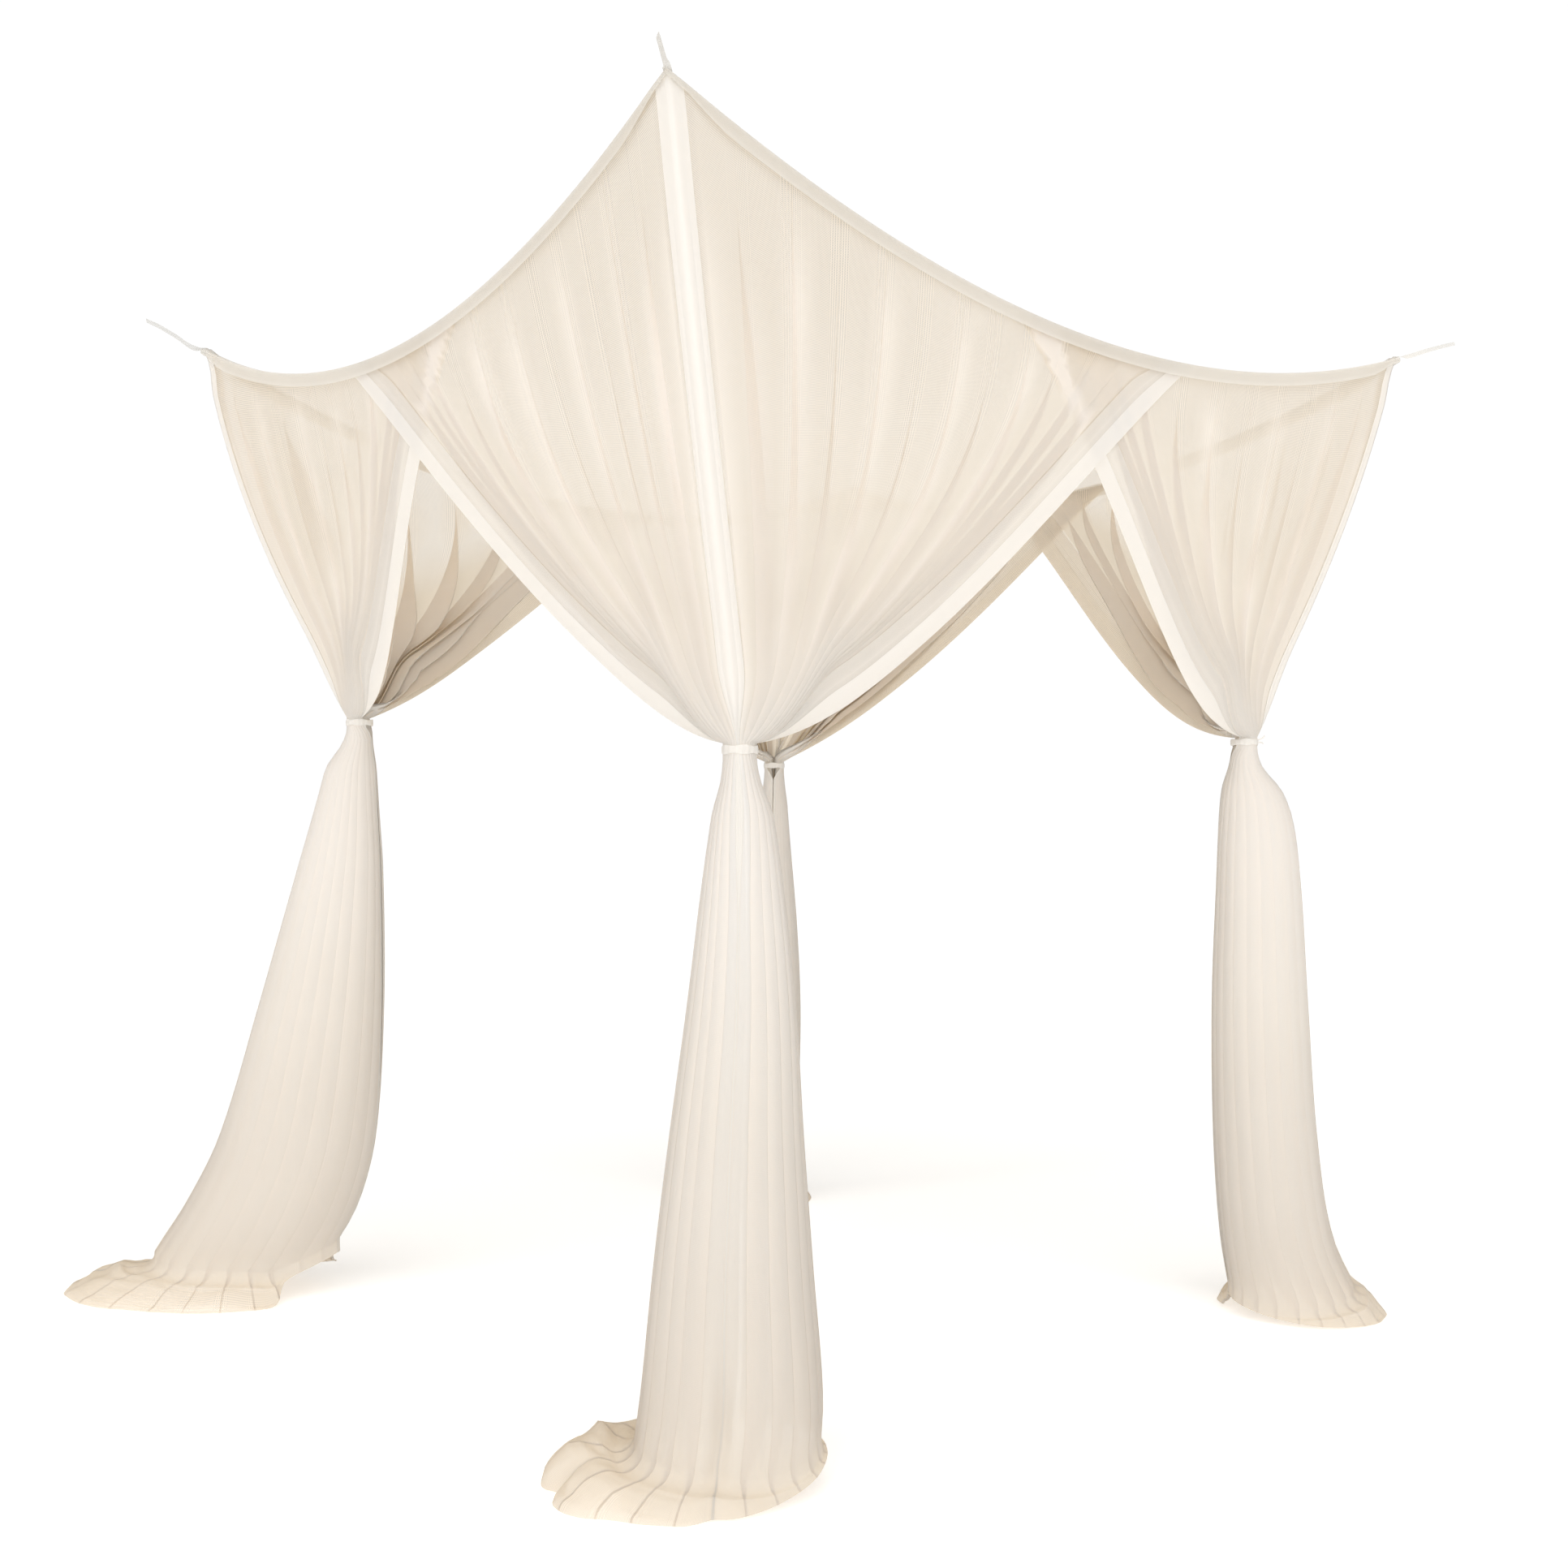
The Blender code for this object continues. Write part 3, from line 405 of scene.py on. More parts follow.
def read_table(rows, key, value):
    """A row of a table at any key, on a smooth curve through its rows and flat past its ends."""
    rows = sorted(rows, key=lambda row: getattr(row, key))
    if value <= getattr(rows[0], key):
        return rows[0]
    if value >= getattr(rows[-1], key):
        return rows[-1]
    upper = next(k for k, row in enumerate(rows) if getattr(row, key) >= value)
    low, high = rows[upper - 1], rows[upper]
    run = getattr(high, key) - getattr(low, key)
    t = (value - getattr(low, key)) / run
    low_part, high_part = (1.0 + 2.0 * t) * (1.0 - t) ** 2, t * t * (3.0 - 2.0 * t)
    leaving, arriving = t * (1.0 - t) ** 2 * run, t * t * (t - 1.0) * run
    curves = zip(low, high, slope(rows, key, upper - 1), slope(rows, key, upper))
    return type(low)(*(
        a * low_part + b * high_part + first * leaving + second * arriving
        for a, b, first, second in curves
    ))


def waver(a, b, seed):
    """Slow, even noise from -1 to 1."""
    return noise.noise(Vector((a, b, seed * 7.31)))


# ---- the sides, in their own coordinates: (distance from a corner, depth inwards, height) ----
class OwnSide:
    """A side seen from one of its corners."""

    def __init__(self, side, corner_name):
        self.side = side
        other_name = side.end if side.start == corner_name else side.start
        self.corner = CORNER[corner_name]
        self.other = CORNER[other_name]
        self.origin = corner_place(self.corner)
        far_end = corner_place(self.other)
        flat = Vector((far_end.x - self.origin.x, far_end.y - self.origin.y, 0.0))
        self.length = flat.length
        self.along = flat.normalized()
        middle = (self.origin + far_end) * 0.5
        across = Vector((-self.along.y, self.along.x, 0.0))
        self.inward = across if across.dot(ROOF_MIDDLE - middle) > 0.0 else -across
        self.neck = self.own(neck_place(self.corner))
        self.other_neck = self.own(neck_place(self.other))

    def own(self, place):
        step = place - self.origin
        return Vector((step.dot(self.along), step.dot(self.inward), place.z))

    def world(self, own):
        flat = self.origin + self.along * own.x + self.inward * own.y
        return Vector((flat.x, flat.y, own.z))

    def top(self, distance):
        share = distance / self.length
        hang = 4.0 * share * (1.0 - share)
        height = mix(self.origin.z, corner_place(self.other).z, share) - self.side.sag * hang
        return Vector((distance, self.side.bow * hang, height))

    def depth(self, distance, height):
        """How far in the side's cloth hangs; both curtains of a side share this surface."""
        span = self.other_neck.x - self.neck.x
        share = min(max((distance - self.neck.x) / span, 0.0), 1.0)
        neck = self.neck.lerp(self.other_neck, share)
        edge = self.top(distance)
        fall = min(max((edge.z - height) / (edge.z - neck.z), 0.0), 1.05)
        return mix(edge.y, neck.y, 0.6 * fall + 0.4 * fall * fall)

    def hung(self, flat):
        """The point of that surface at this distance and height."""
        return Vector((flat.x, self.depth(flat.x, flat.y), flat.y))


def net_place(width):
    """A place across the net between its two bands, from a place across the half curtain."""
    return (width - BAND_SHARE) / (CORNER_SHARE - BAND_SHARE)


def across_strips(width, band, corner):
    """A place across a half curtain whose edge band and corner band take up these shares."""
    if width <= BAND_SHARE:
        return width * band / BAND_SHARE
    if width >= CORNER_SHARE:
        return 1.0 - (1.0 - width) * corner / (1.0 - CORNER_SHARE)
    return mix(band, 1.0 - corner, net_place(width))


def round_share(width, closed=0.0):
    """Where a line of the cloth comes to lie round a gathered column, 0 to 1 like its width.

    The net closes over the two bands below the tie, and they go into folds of their own.
    """
    band = mix(BAND_GATHER, BAND_CLOSED, closed)
    return across_strips(width, band, mix(CORNER_GATHER, CORNER_CLOSED, closed))


def corner_place(corner):
    flat = Vector((corner.along_x * HALF_LONG, corner.along_y * HALF_SHORT, HOOK_HEIGHT + corner.rise))
    return ROOF_MIDDLE + flat


def neck_place(corner):
    return ROOF_MIDDLE + Vector((corner.neck_x, corner.neck_y, corner.neck_z))


# ---- the rows of a curtain, from its top edge to its hem ----
Row = namedtuple("Row", "part share")


def curtain_rows():
    rows = [Row("fan", 1.0 - (1.0 - k / FAN_STEPS) ** 1.2) for k in range(FAN_STEPS + 1)]
    rows += [Row("column", (k / COLUMN_STEPS) ** 1.25) for k in range(COLUMN_STEPS + 1)]
    rows += [Row("bend", k / BEND_STEPS) for k in range(1, BEND_STEPS + 1)]
    rows += [Row("pool", k / POOL_STEPS) for k in range(1, POOL_STEPS + 1)]
    return rows


def band_marks(place):
    """A band's marks down a line at this place in from its free edge.

    The cloth is turned in twice along the free edge, so it is denser there, and it is painted
    whiter there as a painted highlight, down to where it is gathered.
    """
    white = mix(BAND_SOFT, BAND_WHITE, smooth(BAND_TURNED + 0.010, BAND_TURNED - 0.010, place))
    marks = []
    for row in ROWS:
        # Each row takes the band's density, and in the fan its painted highlight.
        shown = smooth(1.0, 0.85, row.share) if row.part == "fan" else 0.0
        marks.append((BAND_DENSE * white if row.part == "fan" else BAND_DENSE, white * shown))
    return marks


def band_lift(row):
    """How far outside the net a band lies in a row."""
    gathered = smooth(0.8, 1.0, row.share) if row.part == "fan" else 1.0
    return mix(BAND_LIFT, GATHERED_LIFT, gathered)


ROWS = curtain_rows()


# ---- one half of a curtain, as a smooth form ----
Foot = namedtuple("Foot", "pool rest low base away turned")


class HalfCurtain:
    """The cloth from a free edge to the corner. Its width runs from 0 at the free edge to 1."""

    def __init__(self, corner_name, half, hand):
        self.half = half
        self.hand = hand
        self.corner = CORNER[corner_name]
        self.side = OwnSide(SIDE[half.side], corner_name)
        self.start = self.side.top(half.reach * self.side.length)
        self.neck = self.side.neck
        self.out = -(self.side.along + self.side.inward).normalized()
        self.turn = (self.side.along - self.side.inward).normalized()
        self.seed = self.corner.along_x + 3 * self.corner.along_y

    def free_edge(self, share):
        """The free edge as (distance, height). It droops most two thirds of the way down."""
        droop = self.half.droop * 6.75 * share * share * (1.0 - share)
        height = mix(self.start.z, self.neck.z, share) - droop
        return Vector((mix(self.start.x, self.neck.x, share), height))

    def band_line(self, share):
        """The inner line of the edge band, at the band's width from the free edge."""
        step = 0.01
        ahead = self.free_edge(min(share + step, 1.0)) - self.free_edge(max(share - step, 0.0))
        square = Vector((ahead.y, -ahead.x)).normalized() * EDGE_BAND
        top_distance = self.start.x - EDGE_TOP
        level = Vector((top_distance, self.side.top(top_distance).z)) - self.free_edge(0.0)
        shift = level.lerp(square, smooth(0.0, 0.16, share))
        return self.free_edge(share) + shift * (1.0 - smooth(0.80, 1.0, share))

    def corner_line(self, share, aside):
        """The corner's line, or a line beside it, as (distance, depth, height)."""
        fall = 1.0 - (1.0 - share) ** 1.2
        bulge = self.corner.bulge * 0.707 * 4.0 * fall * (1.0 - fall) * smooth(0.0, 0.12, fall)
        keep = aside * (1.0 - smooth(0.80, 1.0, share))
        height = mix(self.side.origin.z, self.neck.z, fall)
        line = Vector((self.neck.x * fall - bulge, self.neck.y * fall - bulge, height))
        edge = self.side.top(keep)
        rest = 1.0 - fall
        return line + Vector((keep, edge.y * rest, (edge.z - self.side.origin.z) * rest))

    def net_line(self, place, share):
        """The net between the bands: it hangs down, then follows the free edge to the tie."""
        anchor = 1.0 - (1.0 - place) ** 1.3
        power = 1.2 + 1.8 * smooth(0.0, 0.35, place)
        foot = self.band_line(anchor)
        top_distance = mix(self.start.x - EDGE_TOP, CORNER_BAND, place)
        top = Vector((top_distance, self.side.top(top_distance).z))
        flat = self.band_line(anchor + (1.0 - anchor) * share ** power)
        flat = flat + (top - foot) * (1.0 - share) ** 1.2
        straight = Vector((CORNER_BAND, self.side.top(CORNER_BAND).z))
        straight = Vector((self.neck.x, self.neck.z)).lerp(straight, (1.0 - share) ** 1.2)
        bowed = self.corner_line(share, CORNER_BAND) - self.side.hung(straight)
        return self.side.hung(flat) + bowed * smooth(0.35, 1.0, place)

    def fan(self, width, share):
        """A point above the tie."""
        if width <= BAND_SHARE:
            edge_share = share ** 1.2
            flat = self.free_edge(edge_share).lerp(self.band_line(edge_share), width / BAND_SHARE)
            own = self.side.hung(flat)
        elif width >= CORNER_SHARE:
            own = self.corner_line(share, CORNER_BAND * (1.0 - width) / (1.0 - CORNER_SHARE))
        else:
            own = self.net_line(net_place(width), share)
        own.z += NECK_HALF * smooth(0.7, 1.0, share)
        ring = self.ring(width, NECK_WRAP) * NECK_RADIUS
        return self.side.world(own) + ring * smooth(0.68, 1.0, share)

    def ring(self, width, wrap, closed=0.0):
        angle = wrap * (1.0 - round_share(width, closed))
        return self.out * math.cos(angle) + self.turn * math.sin(angle)

    def section(self, height):
        return read_table(COLUMNS[self.corner.name], "height", height)

    def column(self, width, height):
        """A point below the tie, on the column."""
        neck = neck_place(self.corner)
        below = neck.z - NECK_HALF - height
        closed = smooth(0.03, 0.28, below)
        ring = self.ring(width, mix(NECK_WRAP, COLUMN_WRAP, smooth(-0.02, 0.03, below)), closed)
        ring *= 1.0 + self.soft_folds(width, height) * smooth(0.02, 0.30, below)
        section = self.section(height)
        grow = smooth(0.0, 0.10, below)
        wide = mix(NECK_RADIUS, section.wide, grow)
        deep = mix(NECK_RADIUS, section.deep, grow)
        place = neck + (WIDE * section.wide_shift + DEEP * section.deep_shift) * grow
        place += WIDE * (ring.dot(WIDE) * wide) + DEEP * (ring.dot(DEEP) * deep)
        return Vector((place.x, place.y, height))

    def way_round(self, width):
        """How far round a column from its corner a line lies, from -1 to 1 at the free edges."""
        return self.hand * (1.0 - round_share(width, 1.0))

    def soft_folds(self, width, height):
        """The slow folds down a column, as a share of its half width."""
        angle = self.way_round(width)
        folds = 0.045 * waver(angle * 3.1, height * 0.9, self.seed + 11)
        folds += 0.020 * waver(angle * 8.0, height * 1.6, self.seed + 13)
        return folds - self.groove(angle, height)

    def groove(self, angle, height):
        """The one deep fold low down the near column's corner."""
        if self.corner.name != "near":
            return 0.0
        deep = 0.16 * math.exp(-(angle / 0.035) ** 2)
        return deep * smooth(0.30, 0.12, height) * smooth(0.04, 0.07, height)

    def pool(self, width):
        return read_table(POOLS[self.corner.name], "angle", self.way_round(width) * POOL_TURN)

    def foot(self, width):
        """What a line of the cloth needs to know to run out onto the floor."""
        pool = self.pool(width)
        rest = max(pool.hem, 0.0) + NET * 0.5
        low = rest + max(pool.pile, 0.0) * mix(1.0, PILE_VALLEY, pool.puff) + FLOOR_BEND
        base = self.column(width, low)
        section = self.section(low)
        middle = neck_place(self.corner) + WIDE * section.wide_shift + DEEP * section.deep_shift
        away = Vector((base.x - middle.x, base.y - middle.y, 0.0)).normalized()
        return Foot(pool, rest, low, base, away, min(FLOOR_BEND, pool.reach * 0.6))

    def row_point(self, width, row):
        """A point of the smooth form."""
        if row.part == "fan":
            return self.fan(width, row.share)
        foot = self.foot(width)
        if row.part == "column":
            high = self.corner.neck_z + ROOF_MIDDLE.z - NECK_HALF
            return self.column(width, mix(high, foot.low, row.share))
        if row.part == "bend":
            angle = row.share * math.pi * 0.5
            drop = Vector((0.0, 0.0, FLOOR_BEND * math.sin(angle)))
            return foot.base + foot.away * (foot.turned * (1.0 - math.cos(angle))) - drop
        return self.pool_point(width, row.share, foot)

    def pool_point(self, width, share, foot):
        """A point of the cloth that lies piled and rumpled on the floor."""
        turn, seed = self.way_round(width), self.seed + 23
        out = mix(foot.turned, foot.pool.reach, share)
        fall = mix(1.0 - share ** 1.25, (1.0 - share ** 2.4) ** 0.6, foot.pool.puff)
        valley = mix(1.0, PILE_VALLEY, foot.pool.puff)
        pile = max(foot.pool.pile, 0.0) * fall * mix(valley, 1.0, smooth(0.0, 0.40, share))
        crumple = waver(turn * 8.0, out * 18.0, seed)
        roll = abs(waver(turn * 7.0, out * 20.0 + turn * 4.0, seed + 4))
        spread = smooth(0.0, 0.2, share) * smooth(1.0, 0.75, share)
        pile += (0.14 * crumple - 0.26 * roll) * spread * max(foot.pool.pile, 0.0)
        out *= 1.0 + 0.05 * waver(turn * 13.0, 3.0, seed) * smooth(0.5, 1.0, share)
        height = max(foot.rest + pile, NET * 0.5)
        return Vector((foot.base.x, foot.base.y, height)) + foot.away * out

    def line(self, width):
        """One line of the smooth form, a point in every row."""
        return [self.row_point(width, row) for row in ROWS]


# ---- the same half, pleated ----
# A line of the pleated mesh: between which two stops it lies and at what share of the way, or
# which pleat's flap it is in, on which wall and how far down it, and its place in the flat cloth.
Line = namedtuple("Line", "stop share pleat wall along flat")
Stop = namedtuple("Stop", "width pleat")
Fold = namedtuple("Fold", "width flat depth start fine")
# A pleat in one row: its flap's depth and lean, half its opening in width, how far it is in the
# lap, how wide the smooth form is there, and the share of the width that this is.
Size = namedtuple("Size", "depth lean opening lap span share")


class PleatedHalf(HalfCurtain):
    """A half curtain with its spare width folded into pleats."""

    def __init__(self, corner_name, half, hand):
        super().__init__(corner_name, half, hand)
        self.folds = self.list_folds()
        self.stops = self.list_stops()
        self.lines = self.list_lines()
        self.guides = self.guide_widths()
        self.guide_grid = [self.line(width) for width in self.guides]
        self.normals = [[normal * -hand for normal in row] for row in grid_normals(self.guide_grid)]
        self.other = None
        self.heights = [-self.free_edge(k / 100).y for k in range(100)]

    def list_folds(self):
        """Every pleat's place in the whole width, and how much flat cloth it serves."""
        net_flat = self.start.x - EDGE_TOP - CORNER_BAND
        pleats = table(Pleat, PERCENT, self.half.pleats)
        places = [pleat.place for pleat in pleats]
        bounds = [0.0] + [(a + b) * 0.5 for a, b in zip(places, places[1:])] + [1.0]
        folds = [Fold(BAND_SHARE * 0.5, EDGE_BAND, 0.9, 0.5, False)]
        for pleat, low, high in zip(pleats, bounds, bounds[1:]):
            width = mix(BAND_SHARE, CORNER_SHARE, pleat.place)
            folds.append(Fold(width, net_flat * (high - low), pleat.depth, pleat.start, True))
        folds.append(Fold(mix(CORNER_SHARE, 1.0, 0.45), CORNER_BAND, 0.9, 0.5, False))
        return folds

    def list_stops(self):
        stops = [Stop(0.0, None)]
        for index, fold in enumerate(self.folds):
            if index in (1, len(self.folds) - 1):
                stops.append(Stop(BAND_SHARE if index == 1 else CORNER_SHARE, None))
            stops.append(Stop(fold.width, index))
        return stops + [Stop(1.0, None)]

    def list_lines(self):
        flat_width = self.start.x
        lines = []
        for k, stop in enumerate(self.stops):
            flat = self.flat_place(stop.width) * flat_width
            if stop.pleat is None:
                lines.append(Line(k, 0.0, None, 0, 0.0, flat))
            else:
                fold = self.folds[stop.pleat]
                steps = FLAP if fold.fine else BAND_FLAP
                reach = fold.flat * FLAP_REACH
                down, up = [(-1, along) for along in steps], [(1, along) for along in reversed(steps)]
                for wall, along in down + [(0, 1.0)] + up:
                    place = flat + wall * reach * (1.0 - along)
                    lines.append(Line(k, 0.0, stop.pleat, wall, along, place))
            if k + 1 < len(self.stops):
                lines += self.outer_lines(k, flat_width)
        return lines

    def outer_lines(self, k, flat_width):
        here, after = self.stops[k], self.stops[k + 1]
        steps = OUTER_STEPS if BAND_SHARE <= here.width < CORNER_SHARE else 3
        low, high = self.flat_place(here.width), self.flat_place(after.width)
        shares = [step / steps for step in range(1, steps)]
        return [Line(k, share, None, 0, 0.0, mix(low, high, share) * flat_width) for share in shares]

    def flat_place(self, width):
        """Place across the flat cloth, 0 to 1."""
        return across_strips(width, EDGE_BAND / self.start.x, CORNER_BAND / self.start.x)

    def guide_widths(self):
        edge = [BAND_SHARE * k / 4 for k in range(4)]
        net = [mix(BAND_SHARE, CORNER_SHARE, k / 36) for k in range(36)]
        return edge + net + [mix(CORNER_SHARE, 1.0, k / 4) for k in range(5)]

    def guide_share(self, width):
        index = min(max(bisect_right(self.guides, width) - 1, 0), len(self.guides) - 2)
        low, high = self.guides[index], self.guides[index + 1]
        return index, min(max((width - low) / (high - low), 0.0), 1.0)

    def guide_point(self, width, row):
        index, share = self.guide_share(width)
        return self.guide_grid[index][row].lerp(self.guide_grid[index + 1][row], share)

    def normal(self, width, row):
        index, share = self.guide_share(width)
        return self.normals[index][row].lerp(self.normals[index + 1][row], share).normalized()

    def in_lap(self, point, row):
        """How far a point is in the part where two curtains lap, 0 to 1."""
        if row.part != "fan":
            return 0.0
        distance = self.side.own(point).x
        return smooth(0.27, 0.36, distance / self.side.length) * (1.0 - smooth(0.55, 0.75, row.share))

    def spacing(self, width, high, low, j):
        """The smooth form's width from one place to another, square to the lines between them."""
        across = self.guide_point(high, j) - self.guide_point(low, j)
        before, after = max(j - 1, 0), min(j + 1, len(ROWS) - 1)
        down = (self.guide_point(width, after) - self.guide_point(width, before)).normalized()
        return (across - down * across.dot(down)).length

    def served(self, index):
        """The widths between which a pleat takes up the spare cloth."""
        if not self.folds[index].fine:
            return (0.0, BAND_SHARE) if index == 0 else (CORNER_SHARE, 1.0)
        before, here, after = (self.folds[k].width for k in (index - 1, index, index + 1))
        return (before + here) * 0.5, (here + after) * 0.5

    def flap_limits(self, row, j):
        """How deep the flaps may go in a row, and how far they lean over."""
        if row.part == "fan":
            deepest = mix(FAN_DEPTH, NECK_DEPTH, smooth(0.62, 0.98, row.share))
            return deepest, mix(FAN_LEAN, GATHERED_LEAN, smooth(0.6, 1.0, row.share))
        if row.part == "column":
            inside = self.section(self.guide_grid[0][j].z).deep * 0.86
            deepest = mix(NECK_DEPTH, inside, smooth(0.0, 0.16, row.share * 1.15))
            return deepest * (1.0 - 0.75 * smooth(0.93, 1.0, row.share)), GATHERED_LEAN
        share = row.share if row.part == "bend" else 1.0
        return mix(BEND_DEPTH, POOL_DEPTH, share), mix(GATHERED_LEAN, POOL_LEAN, share)

    def fold_size(self, index, j):
        fold, row = self.folds[index], ROWS[j]
        low, high = self.served(index)
        span = self.spacing(fold.width, high, low, j)
        spare = max(fold.flat - span, 0.0) * 0.5 * fold.depth * PLEAT_SPARE
        if row.part == "fan":
            spare *= smooth(fold.start, fold.start + 0.22, row.share)
        deepest, lean = self.flap_limits(row, j)
        if row.part != "fan" and index <= 2:
            deepest *= 0.7
        depth = spare * deepest / max((spare ** 4 + deepest ** 4) ** 0.25, 1e-9)
        depth *= 1.0 + 0.20 * waver(index * 1.7, j * 0.06, 3)
        opening = 0.5 * min(PLEAT_GAP, span * 0.18) / max(span, 1e-6) * (high - low)
        lap = self.in_lap(self.guide_point(fold.width, j), row)
        return Size(depth, lean if fold.fine else 0.0, opening, lap, span, high - low)

    def pleated(self):
        """All the mesh's lines, from the free edge to the corner, as lists of points and marks."""
        sizes = [[self.fold_size(i, j) for j in range(len(ROWS))] for i in range(len(self.folds))]
        points = [self.pleated_line(line, sizes) for line in self.lines]
        marks = [[self.mark(line, sizes, j) for j in range(len(ROWS))] for line in self.lines]
        return points, marks

    def near_pleats(self, line):
        """The pleats beside a line, and how near it is to the fold of each."""
        if line.pleat is not None:
            return ((line.pleat, 1.0 if line.wall <= 0 else 0.6),)
        after = self.stops[min(line.stop + 1, len(self.stops) - 1)]
        return (
            (self.stops[line.stop].pleat, smooth(0.45, 0.0, line.share) * 0.6),
            (after.pleat, smooth(0.35, 1.0, line.share)),
        )

    def mark(self, line, sizes, j):
        """How gathered the cloth is at a line and row, and how strongly it gets the painted highlight
        there.
        """
        row, width = ROWS[j], self.stops[line.stop].width
        gathered, crease = [], 0.0
        for pleat, nearness in self.near_pleats(line):
            if pleat is not None and self.folds[pleat].fine:
                gathered.append(1.0 - min(sizes[pleat][j].span / self.folds[pleat].flat, 1.0))
                crease = max(crease, nearness * self.crease(pleat, j))
        glow = 0.0
        if line.pleat is None and width > CORNER_SHARE - CORNER_GLOW:
            glow = GLOW_HIGHLIGHT * line.share * self.glow(row)
        if line.share > 0.0:
            width = mix(width, self.stops[line.stop + 1].width, line.share)
        if not BAND_SHARE < width < CORNER_SHARE:
            return (0.0 if row.part == "fan" else BAND_PRESSED), crease
        # Beside the corner band and over a lapped band the net also gets the painted highlight.
        crease = max(crease, glow, self.lapped_band_highlight(self.row_point(width, row), row))
        # The column under its tie gets the painted highlight too.
        if row.part == "column":
            crease = max(crease, COLUMN_HIGHLIGHT * smooth(0.50, 0.05, row.share))
        return sum(gathered) / max(len(gathered), 1), crease

    def glow(self, row):
        """How strongly the net beside the corner band is painted with the highlight."""
        return smooth(0.05, 0.25, row.share) * smooth(1.0, 0.9, row.share) if row.part == "fan" else 0.0

    def lapped_band_highlight(self, point, row):
        """How strongly the net is painted whiter where the other curtain's edge band laps behind it, a
        painted highlight for the band showing through.
        """
        if self.corner.lap < 0 or row.part != "fan" or self.other is None:
            return 0.0
        own = self.other.side.own(point)
        share = bisect_right(self.other.heights, -own.z) / len(self.other.heights)
        if not 0.0 < share < 1.0:
            return 0.0
        edge, band = self.other.free_edge(share).x, self.other.band_line(share).x
        inside = smooth(edge + BAND_BLUR, edge - BAND_BLUR, own.x)
        return inside * smooth(band - BAND_BLUR, band + BAND_BLUR, own.x)

    def crease(self, pleat, j):
        """How strongly a pleat's crease is painted with the highlight in a row."""
        fold, row = self.folds[pleat], ROWS[j]
        if row.part != "fan":
            return 0.0
        shown = smooth(fold.start, fold.start + 0.20, row.share) * (1.0 - smooth(0.72, 0.95, row.share))
        strong = mix(0.08, 1.0, smooth(0.85, 1.05, fold.depth))
        return shown * strong * (0.75 + 0.5 * waver(pleat * 1.3, j * 0.11, 5))

    def laid_over(self, width, aside, size):
        """The width that a flap reaches when it lies over towards the free edge, and not past it."""
        if aside <= 0.0:
            return width
        metric = max(size.span, 1e-5) / size.share
        room = max(width - 0.002, 1e-5) * metric
        return width - room * (1.0 - math.exp(-aside / room)) / metric

    def edge_width(self, stop, wall, sizes, j):
        if stop.pleat is None:
            return stop.width
        return stop.width + wall * sizes[stop.pleat][j].opening

    def line_width(self, line, sizes, j):
        """The width at which a line lies in a row."""
        here = self.stops[line.stop]
        if line.pleat is not None:
            size = sizes[line.pleat][j]
            width = here.width + line.wall * size.opening * (1.0 - 0.5 * line.along)
            return self.laid_over(width, size.depth * math.sin(size.lean) * line.along, size)
        if line.share > 0.0:
            low = self.edge_width(here, 1, sizes, j)
            return mix(low, self.edge_width(self.stops[line.stop + 1], -1, sizes, j), line.share)
        return here.width

    def inward(self, line, size):
        """How far in behind the smooth form a flap's line lies."""
        straight = size.depth * math.cos(size.lean)
        inward = mix(straight, min(straight, LAP_DEPTH), size.lap) * line.along
        return inward + WALL_GAP if line.wall > 0 and line.along > 0.0 else inward

    def pleated_line(self, line, sizes):
        points = []
        for j, row in enumerate(ROWS):
            width = self.line_width(line, sizes, j)
            point, normal = self.row_point(width, row), self.normal(width, j)
            if line.pleat is not None:
                point = point - normal * self.inward(line, sizes[line.pleat][j])
            else:
                point = point + normal * self.crown(line, sizes, j, point)
            point = point + normal * self.lap_shift(row)
            point.z = max(point.z, NET * 0.5)
            points.append(point)
        return points

    def crown(self, line, sizes, j, point):
        """How far the cloth between two pleats stands out."""
        row = ROWS[j]
        if line.share <= 0.0 or row.part not in ("fan", "column"):
            return 0.0
        near = [self.stops[line.stop].pleat, self.stops[line.stop + 1].pleat]
        spans = [sizes[k][j].span for k in near if k is not None]
        most, share = 0.0012, 0.035
        if row.part == "fan":
            most = 0.0020
            share = mix(0.03, 0.05, smooth(0.75, 1.0, row.share)) * smooth(0.03, 0.35, row.share)
        swell = min(most, share * (sum(spans) / len(spans))) * math.sin(math.pi * line.share)
        return swell * (1.0 - self.in_lap(point, row))

    def lap_shift(self, row):
        if row.part != "fan":
            return 0.0
        return self.corner.lap * LAP * (1.0 - smooth(0.60, 0.95, row.share))


# ---- meshes ----
def draw_grid(name, cloth, lines, flats, drops, creased=(), marks=None):
    """An open sheet through lines of points, its UV map in metres of flat cloth.

    The marks say at every point how gathered the cloth is and how strongly it gets the painted highlight.
    """
    wide, tall = len(lines), len(lines[0])
    verts = [tuple(point) for line in lines for point in line]
    faces = []
    for i in range(wide - 1):
        for j in range(tall - 1):
            a, b = i * tall + j, (i + 1) * tall + j
            faces.append((a, a + 1, b + 1, b))
    mesh = bpy.data.meshes.new(name)
    mesh.from_pydata(verts, [], faces)
    coords = []
    for loop in mesh.loops:
        i, j = divmod(loop.vertex_index, tall)
        coords += [flats[i], drops[j]]
    mesh.uv_layers.new(name="cloth").data.foreach_set("uv", coords)
    mesh.materials.append(cloth)
    mesh.shade_smooth()
    for edge in mesh.edges:
        a, b = edge.vertices
        edge.use_edge_sharp = a // tall == b // tall and a // tall in creased
    points = [point for line in marks for point in line] if marks else [(0.0, 0.0)] * len(verts)
    for mark, values in zip(("gathered", "crease"), zip(*points)):
        mesh.attributes.new(mark, "FLOAT", "POINT").data.foreach_set("value", values)
    piece = bpy.data.objects.new(name, mesh)
    bpy.context.scene.collection.objects.link(piece)
    return piece


